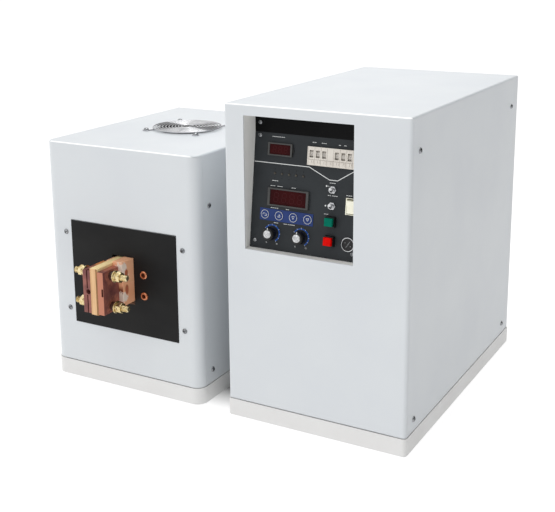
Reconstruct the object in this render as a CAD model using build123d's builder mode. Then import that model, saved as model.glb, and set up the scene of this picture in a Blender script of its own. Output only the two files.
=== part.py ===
from build123d import *
import os
from math import cos, radians, sin, sqrt, tan

os.makedirs("parts", exist_ok=True)

# Driving dimensions, in millimetres and degrees
# The frame: X runs to the right seen from the front, Y to the back, Z up, floor at zero

# Cabinets
cabinet_gap = 43
power_width = 240
power_depth = 400
power_height = 400
head_width = 240
head_depth = 310
head_height = 330
sheet = 1.5
top_fold = 2.5
seam = 0.3
power_corner = 4
power_return = 5
head_corner = 13
head_return = 16
top_return = 3

# Base skirts and the frame posts welded to them
skirt_height = 22
skirt_proud = 1
skirt_wall = 1.5
skirt_floor = 2
skirt_seam = 0.8
post_wall = 2
post_leg_side = 36
post_leg_front = 14
frame_play = 0.1

# Window of the power cabinet and the leaning control panel behind it
window_width = 144
window_height = 164
window_left = 27
window_drop = 13
window_corner = 1
window_cut_margin = 2
sill_depth = 11
panel_tilt = 7.1
panel_sheet = 2
panel_overlap = 9
panel_foot_overlap = 6
kink_rise = 140.5
reveal_wall = 1.5
strip_overlap = 5
hole_play = 0.2

# Red meters
meter_width, meter_height, meter_lift = 33, 15.6, 2.5
meter_glass_width, meter_glass_height = 28, 12.3
meter_u, meter_v = -36, 122.3
display_width, display_height, display_lift = 55, 21.8, 3
display_glass_width, display_glass_height = 48.5, 18
display_u, display_v = -21.8, 65
meter_body_depth = 20
meter_body_inset = 1
glass_thickness = 0.8
glass_recess = 0.9
clip_width, clip_height, clip_lift = 1.6, 6, 1.2

# Timer with number wheels
timer_left, timer_v = 1.5, 119
timer_height, timer_lift, timer_depth = 21.8, 3, 20
timer_body_inset = 1
timer_slots = 7
timer_blank_slot = 3
timer_pitch = 8.2
timer_left_flange, timer_right_flange = 1.2, 3.2
timer_face = 1
timer_rim = 0.9
timer_divider = 0.8
timer_opening_width, timer_opening_height = 5.2, 10
timer_tile_width, timer_tile_height, timer_tile_lift = 5.6, 4, 0.6
timer_tile_v = -6.6
wheel_radius = 6.1
wheel_v = 2.4
wheel_flats = 10
wheel_play = 0.5
wheel_axle_radius = 1.5
running_play = 0.05

# Indicator lenses
led_radius, led_lift, led_depth = 1.5, 1.2, 6
led_u, led_v, led_pitch, led_count = -23, 93.3, 9.6, 5

# Key strip
strip_width, strip_height, strip_lift = 72, 14.5, 0.6
strip_u, strip_v = -23.6, 42.7
key_radius, key_thickness, key_pitch, key_count = 5.6, 0.5, 19.3, 4
key_play = 0.3
key_rest_lift = 0.6

# Knobs
knob_radius, knob_height = 8, 11.2
knob_cap_radius, knob_cap_lift = 4.9, 0.8
knob_stand_off = 0.8
knob_u, knob_v, knob_pitch = -42, 20.5, 39.5
knob_shaft_radius = 3
knob_pointer_width, knob_pointer_depth = 1.2, 0.5
pot_bush_radius, pot_bush_lift = 4, 4.5
pot_body_radius, pot_body_depth = 12, 10
pot_bore_depth = 12

# Toggle switches
toggle_u, toggle_upper_v, toggle_lower_v = 36, 81.7, 62.7
toggle_bush_radius, toggle_bush_lift = 3.4, 5
toggle_bore_radius = 2.75
toggle_nut_across, toggle_nut_lift = 8, 1.6
toggle_body_width, toggle_body_height, toggle_body_depth = 8, 13, 10
toggle_pivot_lift = 0.5
toggle_throw = 25
lever_root_radius, lever_tip_radius, lever_length = 1.2, 2, 7
lever_ball_radius = 2.3
toggle_bore_depth = 4

# Square push buttons
button_u, start_v, stop_v = 36, 44.3, 21.4
button_width, button_height, button_lift = 10.2, 9.8, 9
button_travel = 3
button_play = 0.3
button_foot = 2
collar_wall, collar_lift, collar_depth = 0.8, 5.5, 16
collar_floor = 2

# Rocker switch
rocker_u, rocker_v = 61, 64.8
rocker_frame_width, rocker_frame_height, rocker_frame_lift = 13.5, 19.5, 2.2
rocker_body_inset, rocker_body_depth = 0.4, 16
rocker_key_half_width, rocker_key_half_height = 5.3, 7.6
rocker_play = 0.35
rocker_key_rise, rocker_key_dip, rocker_key_root = 3.4, 1.8, 4
rocker_pivot_lift = -1
rocker_throw = 20
rocker_pin_radius = 0.9
rocker_pin_reach = 0.45
rocker_floor = 2

# Round foot switch socket
socket_u, socket_v = 60, 20.5
socket_radius, socket_lift = 8.5, 3.2
socket_bore_radius, socket_bore_depth = 6.2, 7
socket_body_radius, socket_body_depth = 7.8, 14
socket_pin_radius, socket_pin_length, socket_pin_pitch = 0.8, 5, 5

# Screws: pan heads with a cross recess
case_head_radius, case_head_height = 3.6, 2.4
case_shank_radius, case_shank_length = 2, 8
cross_length, cross_width, cross_depth = 3.6, 0.8, 1.1
panel_head_radius, panel_head_height = 2.8, 1.8
panel_shank_radius, panel_shank_length = 1.5, 6
panel_screw_u, panel_screw_low_v, panel_screw_high_v = 65, 9.4, 137.6
strip_screw_rise = 11.5
screw_play = 0.2
power_screw_front, power_screw_rear = 24, 29
power_screw_low, power_screw_drop = 38, 40
head_screw_side, head_screw_low, head_screw_drop = 29, 40, 68
rear_screw_inset, rear_screw_low, rear_screw_drop = 9, 40, 40

# Output head: insulating board, copper plates, connectors and ports
board_offset, board_z = 3, 153
board_margin, board_height = 35.25, 144
board_gap = 0.5
board_proud = 1
board_flange_side, board_flange_rise, board_flange_thickness = 15.25, 11, 6
board_screw_side, board_screw_spread_z = 9.85, 108
board_shank_length = 12
busbar_z = 152
busbar_reach, busbar_inside = 56, 52
plate_outer_face, plate_foot = 17, 25
left_plate_rise, right_plate_rise = 30, 34
insulation_thickness, insulation_block_thickness = 2.7, 9
insulation_height, insulation_lift = 62, 1
slot_play = 0.15
connector_height = 57
left_connector_thickness, right_connector_thickness = 11.8, 9
left_connector_depth, right_connector_depth = 42, 31.5
coil_hole_radius, coil_hole_depth, coil_hole_inset = 3.4, 18, 3.6
coil_slot_width, coil_slot_height, coil_slot_depth = 2.6, 10.8, 18
coil_slot_inset, coil_slot_lift = 1.8, 1.5
groove_offset, groove_width, groove_depth, groove_gap = 5.1, 1.8, 6, 1
stud_radius, stud_setback, stud_spread = 4, 16.5, 41
stud_embed, left_stud_tail, right_stud_tail = 7, 8, 9.6
spacer_radius, spacer_thickness = 5.8, 6.5
washer_radius, washer_thickness = 8, 1.6
spring_washer_radius, spring_washer_thickness = 6.4, 2.2
nut_across_flats, nut_height = 13, 6.5
thread_play = 0.05
port_offset, port_upper_z, port_lower_z = 33.3, 165.3, 136.4
port_radius, port_bore_radius = 5.25, 3.1
port_proud, port_inside = 2.2, 45
port_edge = 0.9
port_collar_radius, port_collar_thickness = 8.5, 5

# Fan on top of the output head
fan_offset, fan_y = 0.5, 160
fan_size, fan_depth, fan_corner = 92, 25, 5
fan_bore_radius = 43.5
fan_hole_spread = 82.5
fan_shank_length = 18
fan_opening_radius = 43
fan_hub_radius, fan_hub_height = 17, 19
fan_blade_count, fan_blade_radius = 7, 41.5
fan_blade_thickness, fan_blade_height, fan_blade_pitch = 1.8, 15, 38
fan_axle_radius, fan_axle_length = 3, 14
fan_seat_radius, fan_seat_height = 18, 3
fan_strut_width = 5
fan_running_gap = 0.8
guard_wire_radius, guard_spoke_radius = 0.95, 1.1
guard_ring_radius, guard_ring_pitch, guard_ring_count = 48, 4.4, 10
guard_ear_radius, guard_ear_thickness = 5, 1.8
guard_weld = 0.35

# Inside the power cabinet
shelf_height, shelf_thickness, shelf_start = 200, 2, 75
cold_plate_left_room, cold_plate_right_room, cold_plate_rear_room = 30, 60, 60
cold_plate_length, cold_plate_thickness = 230, 20
cold_plate_lift, cold_plate_foot_radius = 10, 6
cold_plate_pipe_radius, cold_plate_pipe_length = 6, 20
module_width, module_length, module_height = 106, 62, 30
module_pitch, module_count = 72, 3
capacitor_radius, capacitor_height = 32, 110
capacitor_terminal_radius, capacitor_terminal_height = 5, 5
capacitor_pitch_x, capacitor_pitch_y = 90, 84
capacitor_rear_room = 114
control_board_width, control_board_height, control_board_thickness = 190, 150, 2
control_board_y, control_board_foot = 100, 12
control_chip_size, control_chip_height = 24, 6
terminal_right_room, terminal_rear_room = 14, 30
terminal_width, terminal_length, terminal_height = 30, 80, 28
terminal_way_count, terminal_way_radius, terminal_way_depth = 4, 4, 8

# Inside the output head
core_width, core_depth, core_height = 120, 80, 110
core_leg, core_yoke = 30, 25
core_y, core_z = 76, 100
stand_thickness, stand_margin = 2, 6
winding_thickness, winding_play, winding_height = 12, 0.3, 58
resonance_width, resonance_length, resonance_height = 50, 70, 90
resonance_pitch, resonance_count, resonance_rear_room = 60, 3, 45
resonance_stud_radius, resonance_stud_height = 5, 8

# Rear panels, water fittings and cable glands
fitting_reach = 24
fitting_flange_radius, fitting_flange_thickness = 10, 5
fitting_radius, fitting_bore_radius, fitting_thread_radius = 5, 3, 7
fitting_inside = 14
power_fitting_x, power_fitting_z, power_fitting_pitch = 60, 60, 45
head_fitting_x, head_fitting_z, head_fitting_pitch = 52, 60, 45
gland_radius, gland_bore_radius, gland_thread_radius = 14, 7, 11
gland_reach, gland_inside = 18, 12
gland_power_x, gland_power_z = 185, 60
gland_head_x, gland_head_z = 185, 60
vent_width, vent_height, vent_pitch = 60, 4, 12
vent_column_count, vent_column_pitch = 2, 80
power_vent_row_count, head_vent_row_count = 9, 7
vent_power_z, vent_head_z = 250, 210

# Places worked out from the sizes
total_width = head_width + cabinet_gap + power_width
head_left = -total_width / 2
power_left = head_left + head_width + cabinet_gap
front = (busbar_reach - power_depth - fitting_reach) / 2
power_back = front + power_depth
head_back = front + head_depth
case_bottom = skirt_height + skirt_seam
window_x = power_left + window_left + window_width / 2
window_bottom = power_height - window_drop - window_height
window_z = window_bottom + window_height / 2
kink_height = window_bottom + kink_rise
tilt = radians(panel_tilt)
kink_depth = sill_depth + (kink_height - window_bottom) * tan(tilt)
panel_length = (kink_height - window_bottom) / cos(tilt)
board_width = head_width - 2 * board_margin
busbar_x = head_left + head_width / 2 + board_offset
port_x = busbar_x + port_offset
fan_centre_x = head_left + head_width / 2 + fan_offset
fan_centre_y = front + fan_y
power_x = power_left + power_width / 2
head_x = head_left + head_width / 2

# The control panel's own plane: local x to the right, local y up the slope, local z towards the user
panel_normal = (0, -cos(tilt), sin(tilt))
panel_origin = (window_x, front + sill_depth, window_bottom)
panel_plane = Plane(origin=panel_origin, x_dir=(1, 0, 0), z_dir=panel_normal)


def facing_front(x, depth, z=0):
    return Plane(origin=(x, front + depth, z), x_dir=(1, 0, 0), z_dir=(0, -1, 0))


def facing_back(x, y, z=0):
    return Plane(origin=(x, y, z), x_dir=(-1, 0, 0), z_dir=(0, 1, 0))


def facing_side(x, y, z, sign):
    return Plane(origin=(x, y, z), x_dir=(0, sign, 0), z_dir=(sign, 0, 0))


def on_panel(u, v, lift=0):
    spot = panel_plane.from_local_coords(Vector(u, v, lift))
    return Plane(origin=spot, x_dir=(1, 0, 0), z_dir=panel_normal)


def save(builder, name):
    builder.part.label = name
    export_step(builder.part, f"parts/{name}.step")


# A block with the cabinet's plan: round at the front corners, square at the back, folded at the top
def case_block(left, width, depth, height, corner, inset):
    with BuildPart() as block:
        with BuildSketch(Plane.XY.offset(case_bottom - inset)) as plan:
            with Locations((left + width / 2, front + depth / 2 + inset)):
                Rectangle(width - 2 * inset, depth)
            fillet(plan.vertices().group_by(Axis.Y)[0], corner - inset)
        extrude(amount=height - case_bottom)
        top_edges = block.edges().group_by(Axis.Z)[-1]
        fillet(top_edges.sort_by(Axis.Y)[:-1], top_fold - inset)
    return block.part


# A block between two corners, in the part being built
def block(x_range, y_range, z_range, mode=Mode.ADD):
    (x0, x1), (y0, y1), (z0, z1) = x_range, y_range, z_range
    with Locations(((x0 + x1) / 2, (y0 + y1) / 2, (z0 + z1) / 2)):
        Box(x1 - x0, y1 - y0, z1 - z0, mode=mode)


def around(centre, size):
    return centre - size / 2, centre + size / 2


# A pan-head screw with a cross recess: its seat is at zero and its head points along Z
def pan_screw(head_radius, head_height, shank_radius, shank_length):
    with BuildPart() as screw:
        with BuildSketch():
            Circle(head_radius)
        extrude(amount=head_height)
        fillet(screw.edges().group_by(Axis.Z)[-1], head_height * 0.6)
        with BuildSketch(Plane.XY.offset(head_height)):
            Rectangle(cross_length, cross_width)
            Rectangle(cross_width, cross_length)
        extrude(amount=-cross_depth, mode=Mode.SUBTRACT)
        with BuildSketch():
            Circle(shank_radius)
        extrude(amount=-shank_length)
    return screw.part


# Screw seats
power_side_seats = [
    facing_side(side, y, z, sign)
    for side, sign in ((power_left, -1), (power_left + power_width, 1))
    for y in (front + power_screw_front, power_back - power_screw_rear)
    for z in (power_screw_low, power_height - power_screw_drop)
]
head_side_seats = [
    facing_side(side, y, z, sign)
    for side, sign in ((head_left, -1), (head_left + head_width, 1))
    for y in (front + head_screw_side, head_back - head_screw_side)
    for z in (head_screw_low, head_height - head_screw_drop)
]
board_seats = [
    facing_front(busbar_x + x, 0, board_z + z)
    for x in (-board_width / 2 - board_screw_side, board_width / 2 + board_screw_side)
    for z in (-board_screw_spread_z / 2, board_screw_spread_z / 2)
]
power_rear_seats = [
    facing_back(x, power_back, z)
    for x in (power_left + rear_screw_inset, power_left + power_width - rear_screw_inset)
    for z in (rear_screw_low, power_height - rear_screw_drop)
]
head_rear_seats = [
    facing_back(x, head_back, z)
    for x in (head_left + rear_screw_inset, head_left + head_width - rear_screw_inset)
    for z in (rear_screw_low, head_height - rear_screw_drop)
]
fan_seats = [
    Plane(origin=(fan_centre_x + x, fan_centre_y + y, head_height + guard_ear_thickness))
    for x in (-fan_hole_spread / 2, fan_hole_spread / 2)
    for y in (-fan_hole_spread / 2, fan_hole_spread / 2)
]
panel_seats = [
    on_panel(u, v)
    for u in (-panel_screw_u, panel_screw_u)
    for v in (panel_screw_low_v, panel_screw_high_v)
]
strip_seats = [
    facing_front(window_x + u, kink_depth, kink_height + strip_screw_rise)
    for u in (-panel_screw_u, panel_screw_u)
]
case_hole = case_shank_radius + screw_play
panel_hole = panel_shank_radius + screw_play

# Case shells
power_outer = case_block(power_left, power_width, power_depth, power_height, power_corner, 0)
power_inner = case_block(power_left, power_width, power_depth, power_height, power_corner, sheet)
head_outer = case_block(head_left, head_width, head_depth, head_height, head_corner, 0)
head_inner = case_block(head_left, head_width, head_depth, head_height, head_corner, sheet)


# The front pan keeps the face, its wrapped sides and a short fold on top
def keep_front(left, width, depth, height, side_return):
    wide = (left - 1, left + width + 1)
    block(wide, (front + side_return, front + depth + 1), (0, height + 1), Mode.SUBTRACT)
    block(wide, (front + top_return, front + depth), (height - sheet - seam, height + 1), Mode.SUBTRACT)


# The cover keeps the rest, with its top reaching forward over the wrapped sides
def keep_cover(left, width, height, side_return):
    wide = (left - 1, left + width + 1)
    block(wide, (front - 1, front + top_return + seam), (0, height + 1), Mode.SUBTRACT)
    block(wide, (front - 1, front + side_return + seam), (0, height - sheet), Mode.SUBTRACT)


# Base skirt as an open tray, with angle posts welded inside its corners
def base_with_posts(left, width, depth, height, corner):
    centre = (left + width / 2, front + depth / 2)
    with BuildPart() as base:
        with BuildSketch() as skirt:
            with Locations(centre):
                Rectangle(width + 2 * skirt_proud, depth + 2 * skirt_proud)
            fillet(skirt.vertices().group_by(Axis.Y)[0], corner + skirt_proud)
        extrude(amount=skirt_height)
        inside = skirt_wall - skirt_proud
        with BuildSketch(Plane.XY.offset(skirt_floor)) as pocket:
            with Locations(centre):
                Rectangle(width - 2 * inside, depth - 2 * inside)
            fillet(pocket.vertices().group_by(Axis.Y)[0], corner - inside)
        extrude(amount=skirt_height, mode=Mode.SUBTRACT)
        inset = sheet + frame_play
        with BuildSketch(Plane.XY.offset(skirt_floor)) as posts:
            with Locations(centre):
                Rectangle(width - 2 * inset, depth - 2 * inset)
            fillet(posts.vertices().group_by(Axis.Y)[0], max(corner - inset, post_wall + 0.2))
            offset(amount=-post_wall, mode=Mode.SUBTRACT)
            with Locations(centre):
                Rectangle(width, depth - 2 * (sheet + post_leg_side), mode=Mode.SUBTRACT)
                Rectangle(width - 2 * (sheet + post_leg_front), depth, mode=Mode.SUBTRACT)
        extrude(amount=height - top_fold - skirt_floor)
    return base.part


power_tray = base_with_posts(power_left, power_width, power_depth, power_height, power_corner)
head_tray = base_with_posts(head_left, head_width, head_depth, head_height, head_corner)

# Power cabinet: base with posts and shelf
with BuildPart() as power_base:
    add(power_tray)
    inset = sheet + frame_play
    block((power_left + inset, power_left + power_width - inset), (front + shelf_start, power_back - inset),
          (shelf_height, shelf_height + shelf_thickness))
    with Locations(*power_side_seats, *power_rear_seats):
        Hole(case_hole, sheet + frame_play + post_wall + 1)
save(power_base, "power_base")

# Power cabinet: front pan with the window
window_plane = facing_front(window_x, -1, window_z)
with BuildPart() as power_front_panel:
    add(power_outer)
    add(power_inner, mode=Mode.SUBTRACT)
    keep_front(power_left, power_width, power_depth, power_height, power_return)
    with BuildSketch(window_plane):
        RectangleRounded(window_width, window_height, window_corner)
    extrude(amount=-(sheet + window_cut_margin), mode=Mode.SUBTRACT)
save(power_front_panel, "power_front_panel")

with BuildPart() as power_cover:
    add(power_outer)
    add(power_inner, mode=Mode.SUBTRACT)
    keep_cover(power_left, power_width, power_height, power_return)
    with Locations(*power_side_seats):
        Hole(case_hole, sheet + 0.5)
save(power_cover, "power_cover")


# Rear panel: a flat sheet with vent slots, fitting holes and a gland hole
def rear_panel(left, width, height, back, seats, fittings, gland, vent_z, vent_row_count):
    play = sheet + frame_play
    with BuildPart() as panel:
        block((left + play, left + width - play), (back - sheet, back), (case_bottom, height - play))
        fillet(panel.edges().filter_by(Axis.Y).group_by(Axis.Z)[-1], top_fold)
        with BuildSketch(facing_back(left + width / 2, back, vent_z)):
            with GridLocations(vent_column_pitch, vent_pitch, vent_column_count, vent_row_count):
                SlotOverall(vent_width, vent_height)
        extrude(amount=-sheet, mode=Mode.SUBTRACT)
        with Locations(*seats):
            Hole(case_hole, sheet + 0.5)
        with Locations(*fittings):
            Hole(fitting_thread_radius + hole_play, sheet + 0.5)
        with Locations(gland):
            Hole(gland_thread_radius + hole_play, sheet + 0.5)
    return panel


power_fitting_seats = [
    facing_back(power_left + x, power_back, power_fitting_z)
    for x in (power_fitting_x, power_fitting_x + power_fitting_pitch)
]
head_fitting_seats = [
    facing_back(head_left + x, head_back, head_fitting_z)
    for x in (head_fitting_x, head_fitting_x + head_fitting_pitch)
]
power_gland_seat = facing_back(power_left + gland_power_x, power_back, gland_power_z)
head_gland_seat = facing_back(head_left + gland_head_x, head_back, gland_head_z)
power_rear_panel = rear_panel(power_left, power_width, power_height, power_back, power_rear_seats,
                              power_fitting_seats, power_gland_seat, vent_power_z, power_vent_row_count)
save(power_rear_panel, "power_rear_panel")

# Reveal round the window, from the front pan back to the leaning panel and the upper strip
reveal_width = window_width + 2 * reveal_wall
reveal_height = window_height + 2 * reveal_wall
reveal_side = Plane(origin=(window_x, front, 0), x_dir=(0, 1, 0), z_dir=(1, 0, 0))
with BuildPart() as panel_surround:
    with BuildSketch(facing_front(window_x, sheet, window_z)):
        Rectangle(reveal_width, reveal_height)
        RectangleRounded(window_width, window_height, window_corner, mode=Mode.SUBTRACT)
    extrude(amount=-kink_depth)
    with BuildSketch(reveal_side):
        with BuildLine():
            foot = window_bottom - panel_overlap
            Polyline(
                (sill_depth - panel_overlap * tan(tilt), foot),
                (kink_depth, kink_height),
                (kink_depth, power_height),
                (2 * kink_depth + sheet, power_height),
                (2 * kink_depth + sheet, foot),
                close=True,
            )
        make_face()
    extrude(amount=reveal_width, both=True, mode=Mode.SUBTRACT)
save(panel_surround, "panel_surround")

# Leaning control panel with its cut-outs
display_body_width = display_width - 2 * meter_body_inset
display_body_height = display_height - 2 * meter_body_inset
meter_body_width = meter_width - 2 * meter_body_inset
meter_body_height = meter_height - 2 * meter_body_inset
timer_width = timer_left_flange + timer_slots * timer_pitch + timer_right_flange
timer_u = timer_left + timer_width / 2
timer_body_width = timer_slots * timer_pitch
timer_body_u = timer_left + timer_left_flange + timer_body_width / 2
timer_body_height = timer_height - 2 * timer_body_inset
collar_width = button_width + 2 * (button_play + collar_wall)
collar_height = button_height + 2 * (button_play + collar_wall)
rocker_body_width = rocker_frame_width - 2 * rocker_body_inset
rocker_body_height = rocker_frame_height - 2 * rocker_body_inset
key_spots = [(strip_u + (i - (key_count - 1) / 2) * key_pitch, strip_v) for i in range(key_count)]
knob_spots = [(knob_u + i * knob_pitch, knob_v) for i in range(2)]
toggle_spots = [(toggle_u, toggle_upper_v), (toggle_u, toggle_lower_v)]
button_spots = [(button_u, start_v), (button_u, stop_v)]
led_spots = [(led_u + (i - (led_count - 1) / 2) * led_pitch, led_v) for i in range(led_count)]
meter_spots = [
    ((meter_u, meter_v), (meter_body_width, meter_body_height)),
    ((display_u, display_v), (display_body_width, display_body_height)),
]
play = 2 * hole_play
with BuildPart() as control_panel:
    with BuildSketch(panel_plane):
        with Locations((0, (panel_length - panel_foot_overlap) / 2)):
            Rectangle(window_width + 2 * panel_overlap, panel_length + panel_foot_overlap)
        for spot, (width, height) in meter_spots:
            with Locations(spot):
                Rectangle(width + play, height + play, mode=Mode.SUBTRACT)
        with Locations((timer_body_u, timer_v)):
            Rectangle(timer_body_width + play, timer_body_height + play, mode=Mode.SUBTRACT)
        with Locations(*button_spots):
            Rectangle(collar_width + play, collar_height + play, mode=Mode.SUBTRACT)
        with Locations((rocker_u, rocker_v)):
            Rectangle(rocker_body_width + play, rocker_body_height + play, mode=Mode.SUBTRACT)
        with Locations(*led_spots):
            Circle(led_radius + hole_play, mode=Mode.SUBTRACT)
        with Locations(*knob_spots):
            Circle(pot_bush_radius + hole_play, mode=Mode.SUBTRACT)
        with Locations(*toggle_spots):
            Circle(toggle_bush_radius + hole_play, mode=Mode.SUBTRACT)
        with Locations((socket_u, socket_v)):
            Circle(socket_body_radius + hole_play, mode=Mode.SUBTRACT)
    extrude(amount=-panel_sheet)
    with Locations(*panel_seats):
        Hole(panel_hole, panel_sheet + 1)
    block(around(window_x, 2 * window_width), (front, front + 3 * kink_depth),
          (kink_height - hole_play, kink_height + panel_length), Mode.SUBTRACT)
save(control_panel, "control_panel")

# Black strip above the panel
with BuildPart() as upper_strip:
    block(around(window_x, window_width + 2 * panel_overlap),
          (front + kink_depth, front + kink_depth + panel_sheet),
          (kink_height, window_bottom + window_height + strip_overlap))
    with Locations(*strip_seats):
        Hole(panel_hole, panel_sheet + 1)
save(upper_strip, "upper_strip")

# Red meters: frames with a body behind the panel, and the tinted windows in them
meters = [
    (meter_u, meter_v, meter_width, meter_height, meter_lift, meter_glass_width, meter_glass_height),
    (display_u, display_v, display_width, display_height, display_lift,
     display_glass_width, display_glass_height),
]
with BuildPart() as meter_frames:
    for u, v, width, height, lift, glass_width, glass_height in meters:
        with BuildSketch(panel_plane):
            with Locations((u, v)):
                Rectangle(width, height)
        extrude(amount=lift)
        with BuildSketch(panel_plane):
            with Locations((u, v)):
                Rectangle(width - 2, height - 2)
        extrude(amount=-meter_body_depth)
        with BuildSketch(panel_plane.offset(lift)):
            with Locations((u, v)):
                Rectangle(glass_width, glass_height)
        extrude(amount=-(glass_recess + glass_thickness), mode=Mode.SUBTRACT)
    with BuildSketch(panel_plane):
        with Locations((meter_u, meter_v)):
            Rectangle(meter_width + 2 * clip_width, clip_height)
            Rectangle(meter_width - 0.5, clip_height, mode=Mode.SUBTRACT)
    extrude(amount=clip_lift)
save(meter_frames, "meter_frames")

with BuildPart() as meter_windows:
    for u, v, width, height, lift, glass_width, glass_height in meters:
        with BuildSketch(panel_plane.offset(lift - glass_recess - glass_thickness)):
            with Locations((u, v)):
                Rectangle(glass_width - 2 * frame_play, glass_height - 2 * frame_play)
        extrude(amount=glass_thickness)
save(meter_windows, "meter_windows")

# Timer: a cream housing with one slot for each number wheel, a blank, an axle and small tiles
wheel_slots = [i for i in range(timer_slots) if i != timer_blank_slot]
slot_u = [timer_left + timer_left_flange + (i + 0.5) * timer_pitch for i in range(timer_slots)]
wheel_spots = [slot_u[i] for i in wheel_slots]
wheel_lift = timer_lift - timer_face - wheel_play - wheel_radius
cavity_height = timer_body_height - 2 * timer_rim
with BuildPart() as timer_housing:
    with BuildSketch(panel_plane):
        with Locations((timer_u, timer_v)):
            Rectangle(timer_width, timer_height)
    extrude(amount=timer_lift)
    with BuildSketch(panel_plane):
        with Locations((timer_body_u, timer_v)):
            Rectangle(timer_body_width, timer_body_height)
    extrude(amount=-timer_depth)
    with BuildSketch(panel_plane.offset(timer_lift - timer_face)):
        with Locations(*[(u, timer_v) for u in wheel_spots]):
            Rectangle(timer_pitch - timer_divider, cavity_height)
    extrude(amount=-(timer_lift - timer_face + timer_depth - timer_face), mode=Mode.SUBTRACT)
    with BuildSketch(panel_plane.offset(timer_lift)):
        with Locations(*[(u, timer_v + wheel_v) for u in wheel_spots]):
            Rectangle(timer_opening_width, timer_opening_height)
    extrude(amount=-timer_face, mode=Mode.SUBTRACT)
    with BuildSketch(panel_plane.offset(timer_lift)):
        with Locations(*[(u, timer_v + timer_tile_v) for u in slot_u]):
            Rectangle(timer_tile_width, timer_tile_height)
    extrude(amount=timer_tile_lift)
    axle_u = timer_body_u - timer_body_width / 2 + timer_divider / 4
    axle_start = on_panel(axle_u, timer_v + wheel_v, wheel_lift).origin
    with BuildSketch(Plane(origin=axle_start, x_dir=(0, 1, 0), z_dir=(1, 0, 0))):
        Circle(wheel_axle_radius)
    extrude(amount=timer_body_width - timer_divider / 2)
save(timer_housing, "timer_housing")

for number, u in enumerate(wheel_spots, start=1):
    wheel_width = timer_pitch - timer_divider - 2 * wheel_play
    start = on_panel(u - wheel_width / 2, timer_v + wheel_v, wheel_lift)
    wheel_plane = Plane(origin=start.origin, x_dir=panel_normal, z_dir=(1, 0, 0))
    with BuildPart() as timer_wheel:
        with BuildSketch(wheel_plane):
            RegularPolygon(wheel_radius, wheel_flats, rotation=180 / wheel_flats)
            Circle(wheel_axle_radius + running_play, mode=Mode.SUBTRACT)
        extrude(amount=wheel_width)
    save(timer_wheel, f"timer_wheel_{number}")

# Indicator lenses
with BuildPart() as indicator_lenses:
    with BuildSketch(panel_plane.offset(-led_depth)):
        with Locations(*led_spots):
            Circle(led_radius)
    extrude(amount=led_depth + led_lift)
    with BuildSketch(panel_plane.offset(-led_depth)):
        with Locations(*led_spots):
            Circle(led_radius + 0.6)
    extrude(amount=led_depth - panel_sheet)
    fillet(indicator_lenses.faces().filter_by(Plane(origin=panel_plane.origin, z_dir=panel_normal))
           .sort_by(Axis(panel_plane.origin, panel_normal))[-led_count:].edges(), led_lift * 0.7)
save(indicator_lenses, "indicator_lenses")

# Blue key strip and its round keys
with BuildPart() as key_strip:
    with BuildSketch(panel_plane):
        with Locations((strip_u, strip_v)):
            Rectangle(strip_width, strip_height)
        with Locations(*key_spots):
            Circle(key_radius + key_play, mode=Mode.SUBTRACT)
    extrude(amount=strip_lift)
save(key_strip, "key_strip")

for number, spot in enumerate(key_spots, start=1):
    with BuildPart() as round_key:
        with BuildSketch(panel_plane.offset(key_rest_lift)):
            with Locations(spot):
                Circle(key_radius)
        extrude(amount=key_thickness)
    save(round_key, f"key_{number}")

# Control knobs: a fluted skirt, a raised cap, a shaft that runs in the bush behind
for name, (u, v) in zip(("knob_left", "knob_right"), knob_spots):
    with BuildPart() as knob:
        with BuildSketch(on_panel(u, v, knob_stand_off)):
            Circle(knob_radius)
        extrude(amount=knob_height)
        fillet(knob.edges().sort_by(Axis(panel_plane.origin, panel_normal))[-1], 1)
        with BuildSketch(on_panel(u, v, knob_stand_off + knob_height)):
            Circle(knob_cap_radius)
        extrude(amount=knob_cap_lift)
        with BuildSketch(on_panel(u, v, knob_stand_off)):
            Circle(pot_bush_radius + 2 * hole_play)
        extrude(amount=pot_bush_lift, mode=Mode.SUBTRACT)
        with BuildSketch(on_panel(u, v, knob_stand_off + knob_height)):
            with Locations((0, (knob_cap_radius + knob_radius) / 2)):
                Rectangle(knob_pointer_width, knob_radius - knob_cap_radius)
        extrude(amount=-knob_pointer_depth, mode=Mode.SUBTRACT)
        with BuildSketch(on_panel(u, v, -(pot_bore_depth - pot_bush_lift - 1))):
            Circle(knob_shaft_radius)
        extrude(amount=pot_bore_depth + knob_stand_off)
    save(knob, name)

with BuildPart() as potentiometers:
    for u, v in knob_spots:
        with BuildSketch(on_panel(u, v, -panel_sheet)):
            Circle(pot_body_radius)
        extrude(amount=-pot_body_depth)
        with BuildSketch(on_panel(u, v, -panel_sheet)):
            Circle(pot_bush_radius)
        extrude(amount=panel_sheet + pot_bush_lift)
        with BuildSketch(on_panel(u, v, pot_bush_lift)):
            Circle(knob_shaft_radius + running_play)
        extrude(amount=-pot_bore_depth, mode=Mode.SUBTRACT)
save(potentiometers, "potentiometers")

# Toggle switches: body, bush with a hexagon nut, and a lever on a ball
with BuildPart() as toggle_bodies:
    for u, v in toggle_spots:
        with BuildSketch(on_panel(u, v, -panel_sheet)):
            Rectangle(toggle_body_width, toggle_body_height)
        extrude(amount=-toggle_body_depth)
        with BuildSketch(on_panel(u, v, -panel_sheet)):
            Circle(toggle_bush_radius)
        extrude(amount=panel_sheet + toggle_bush_lift)
        with BuildSketch(on_panel(u, v)):
            RegularPolygon(toggle_nut_across / 2, 6, major_radius=False)
        extrude(amount=toggle_nut_lift)
        with BuildSketch(on_panel(u, v, toggle_bush_lift)):
            Circle(toggle_bore_radius)
        extrude(amount=-(toggle_bush_lift + toggle_bore_depth), mode=Mode.SUBTRACT)
save(toggle_bodies, "toggle_bodies")

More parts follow.
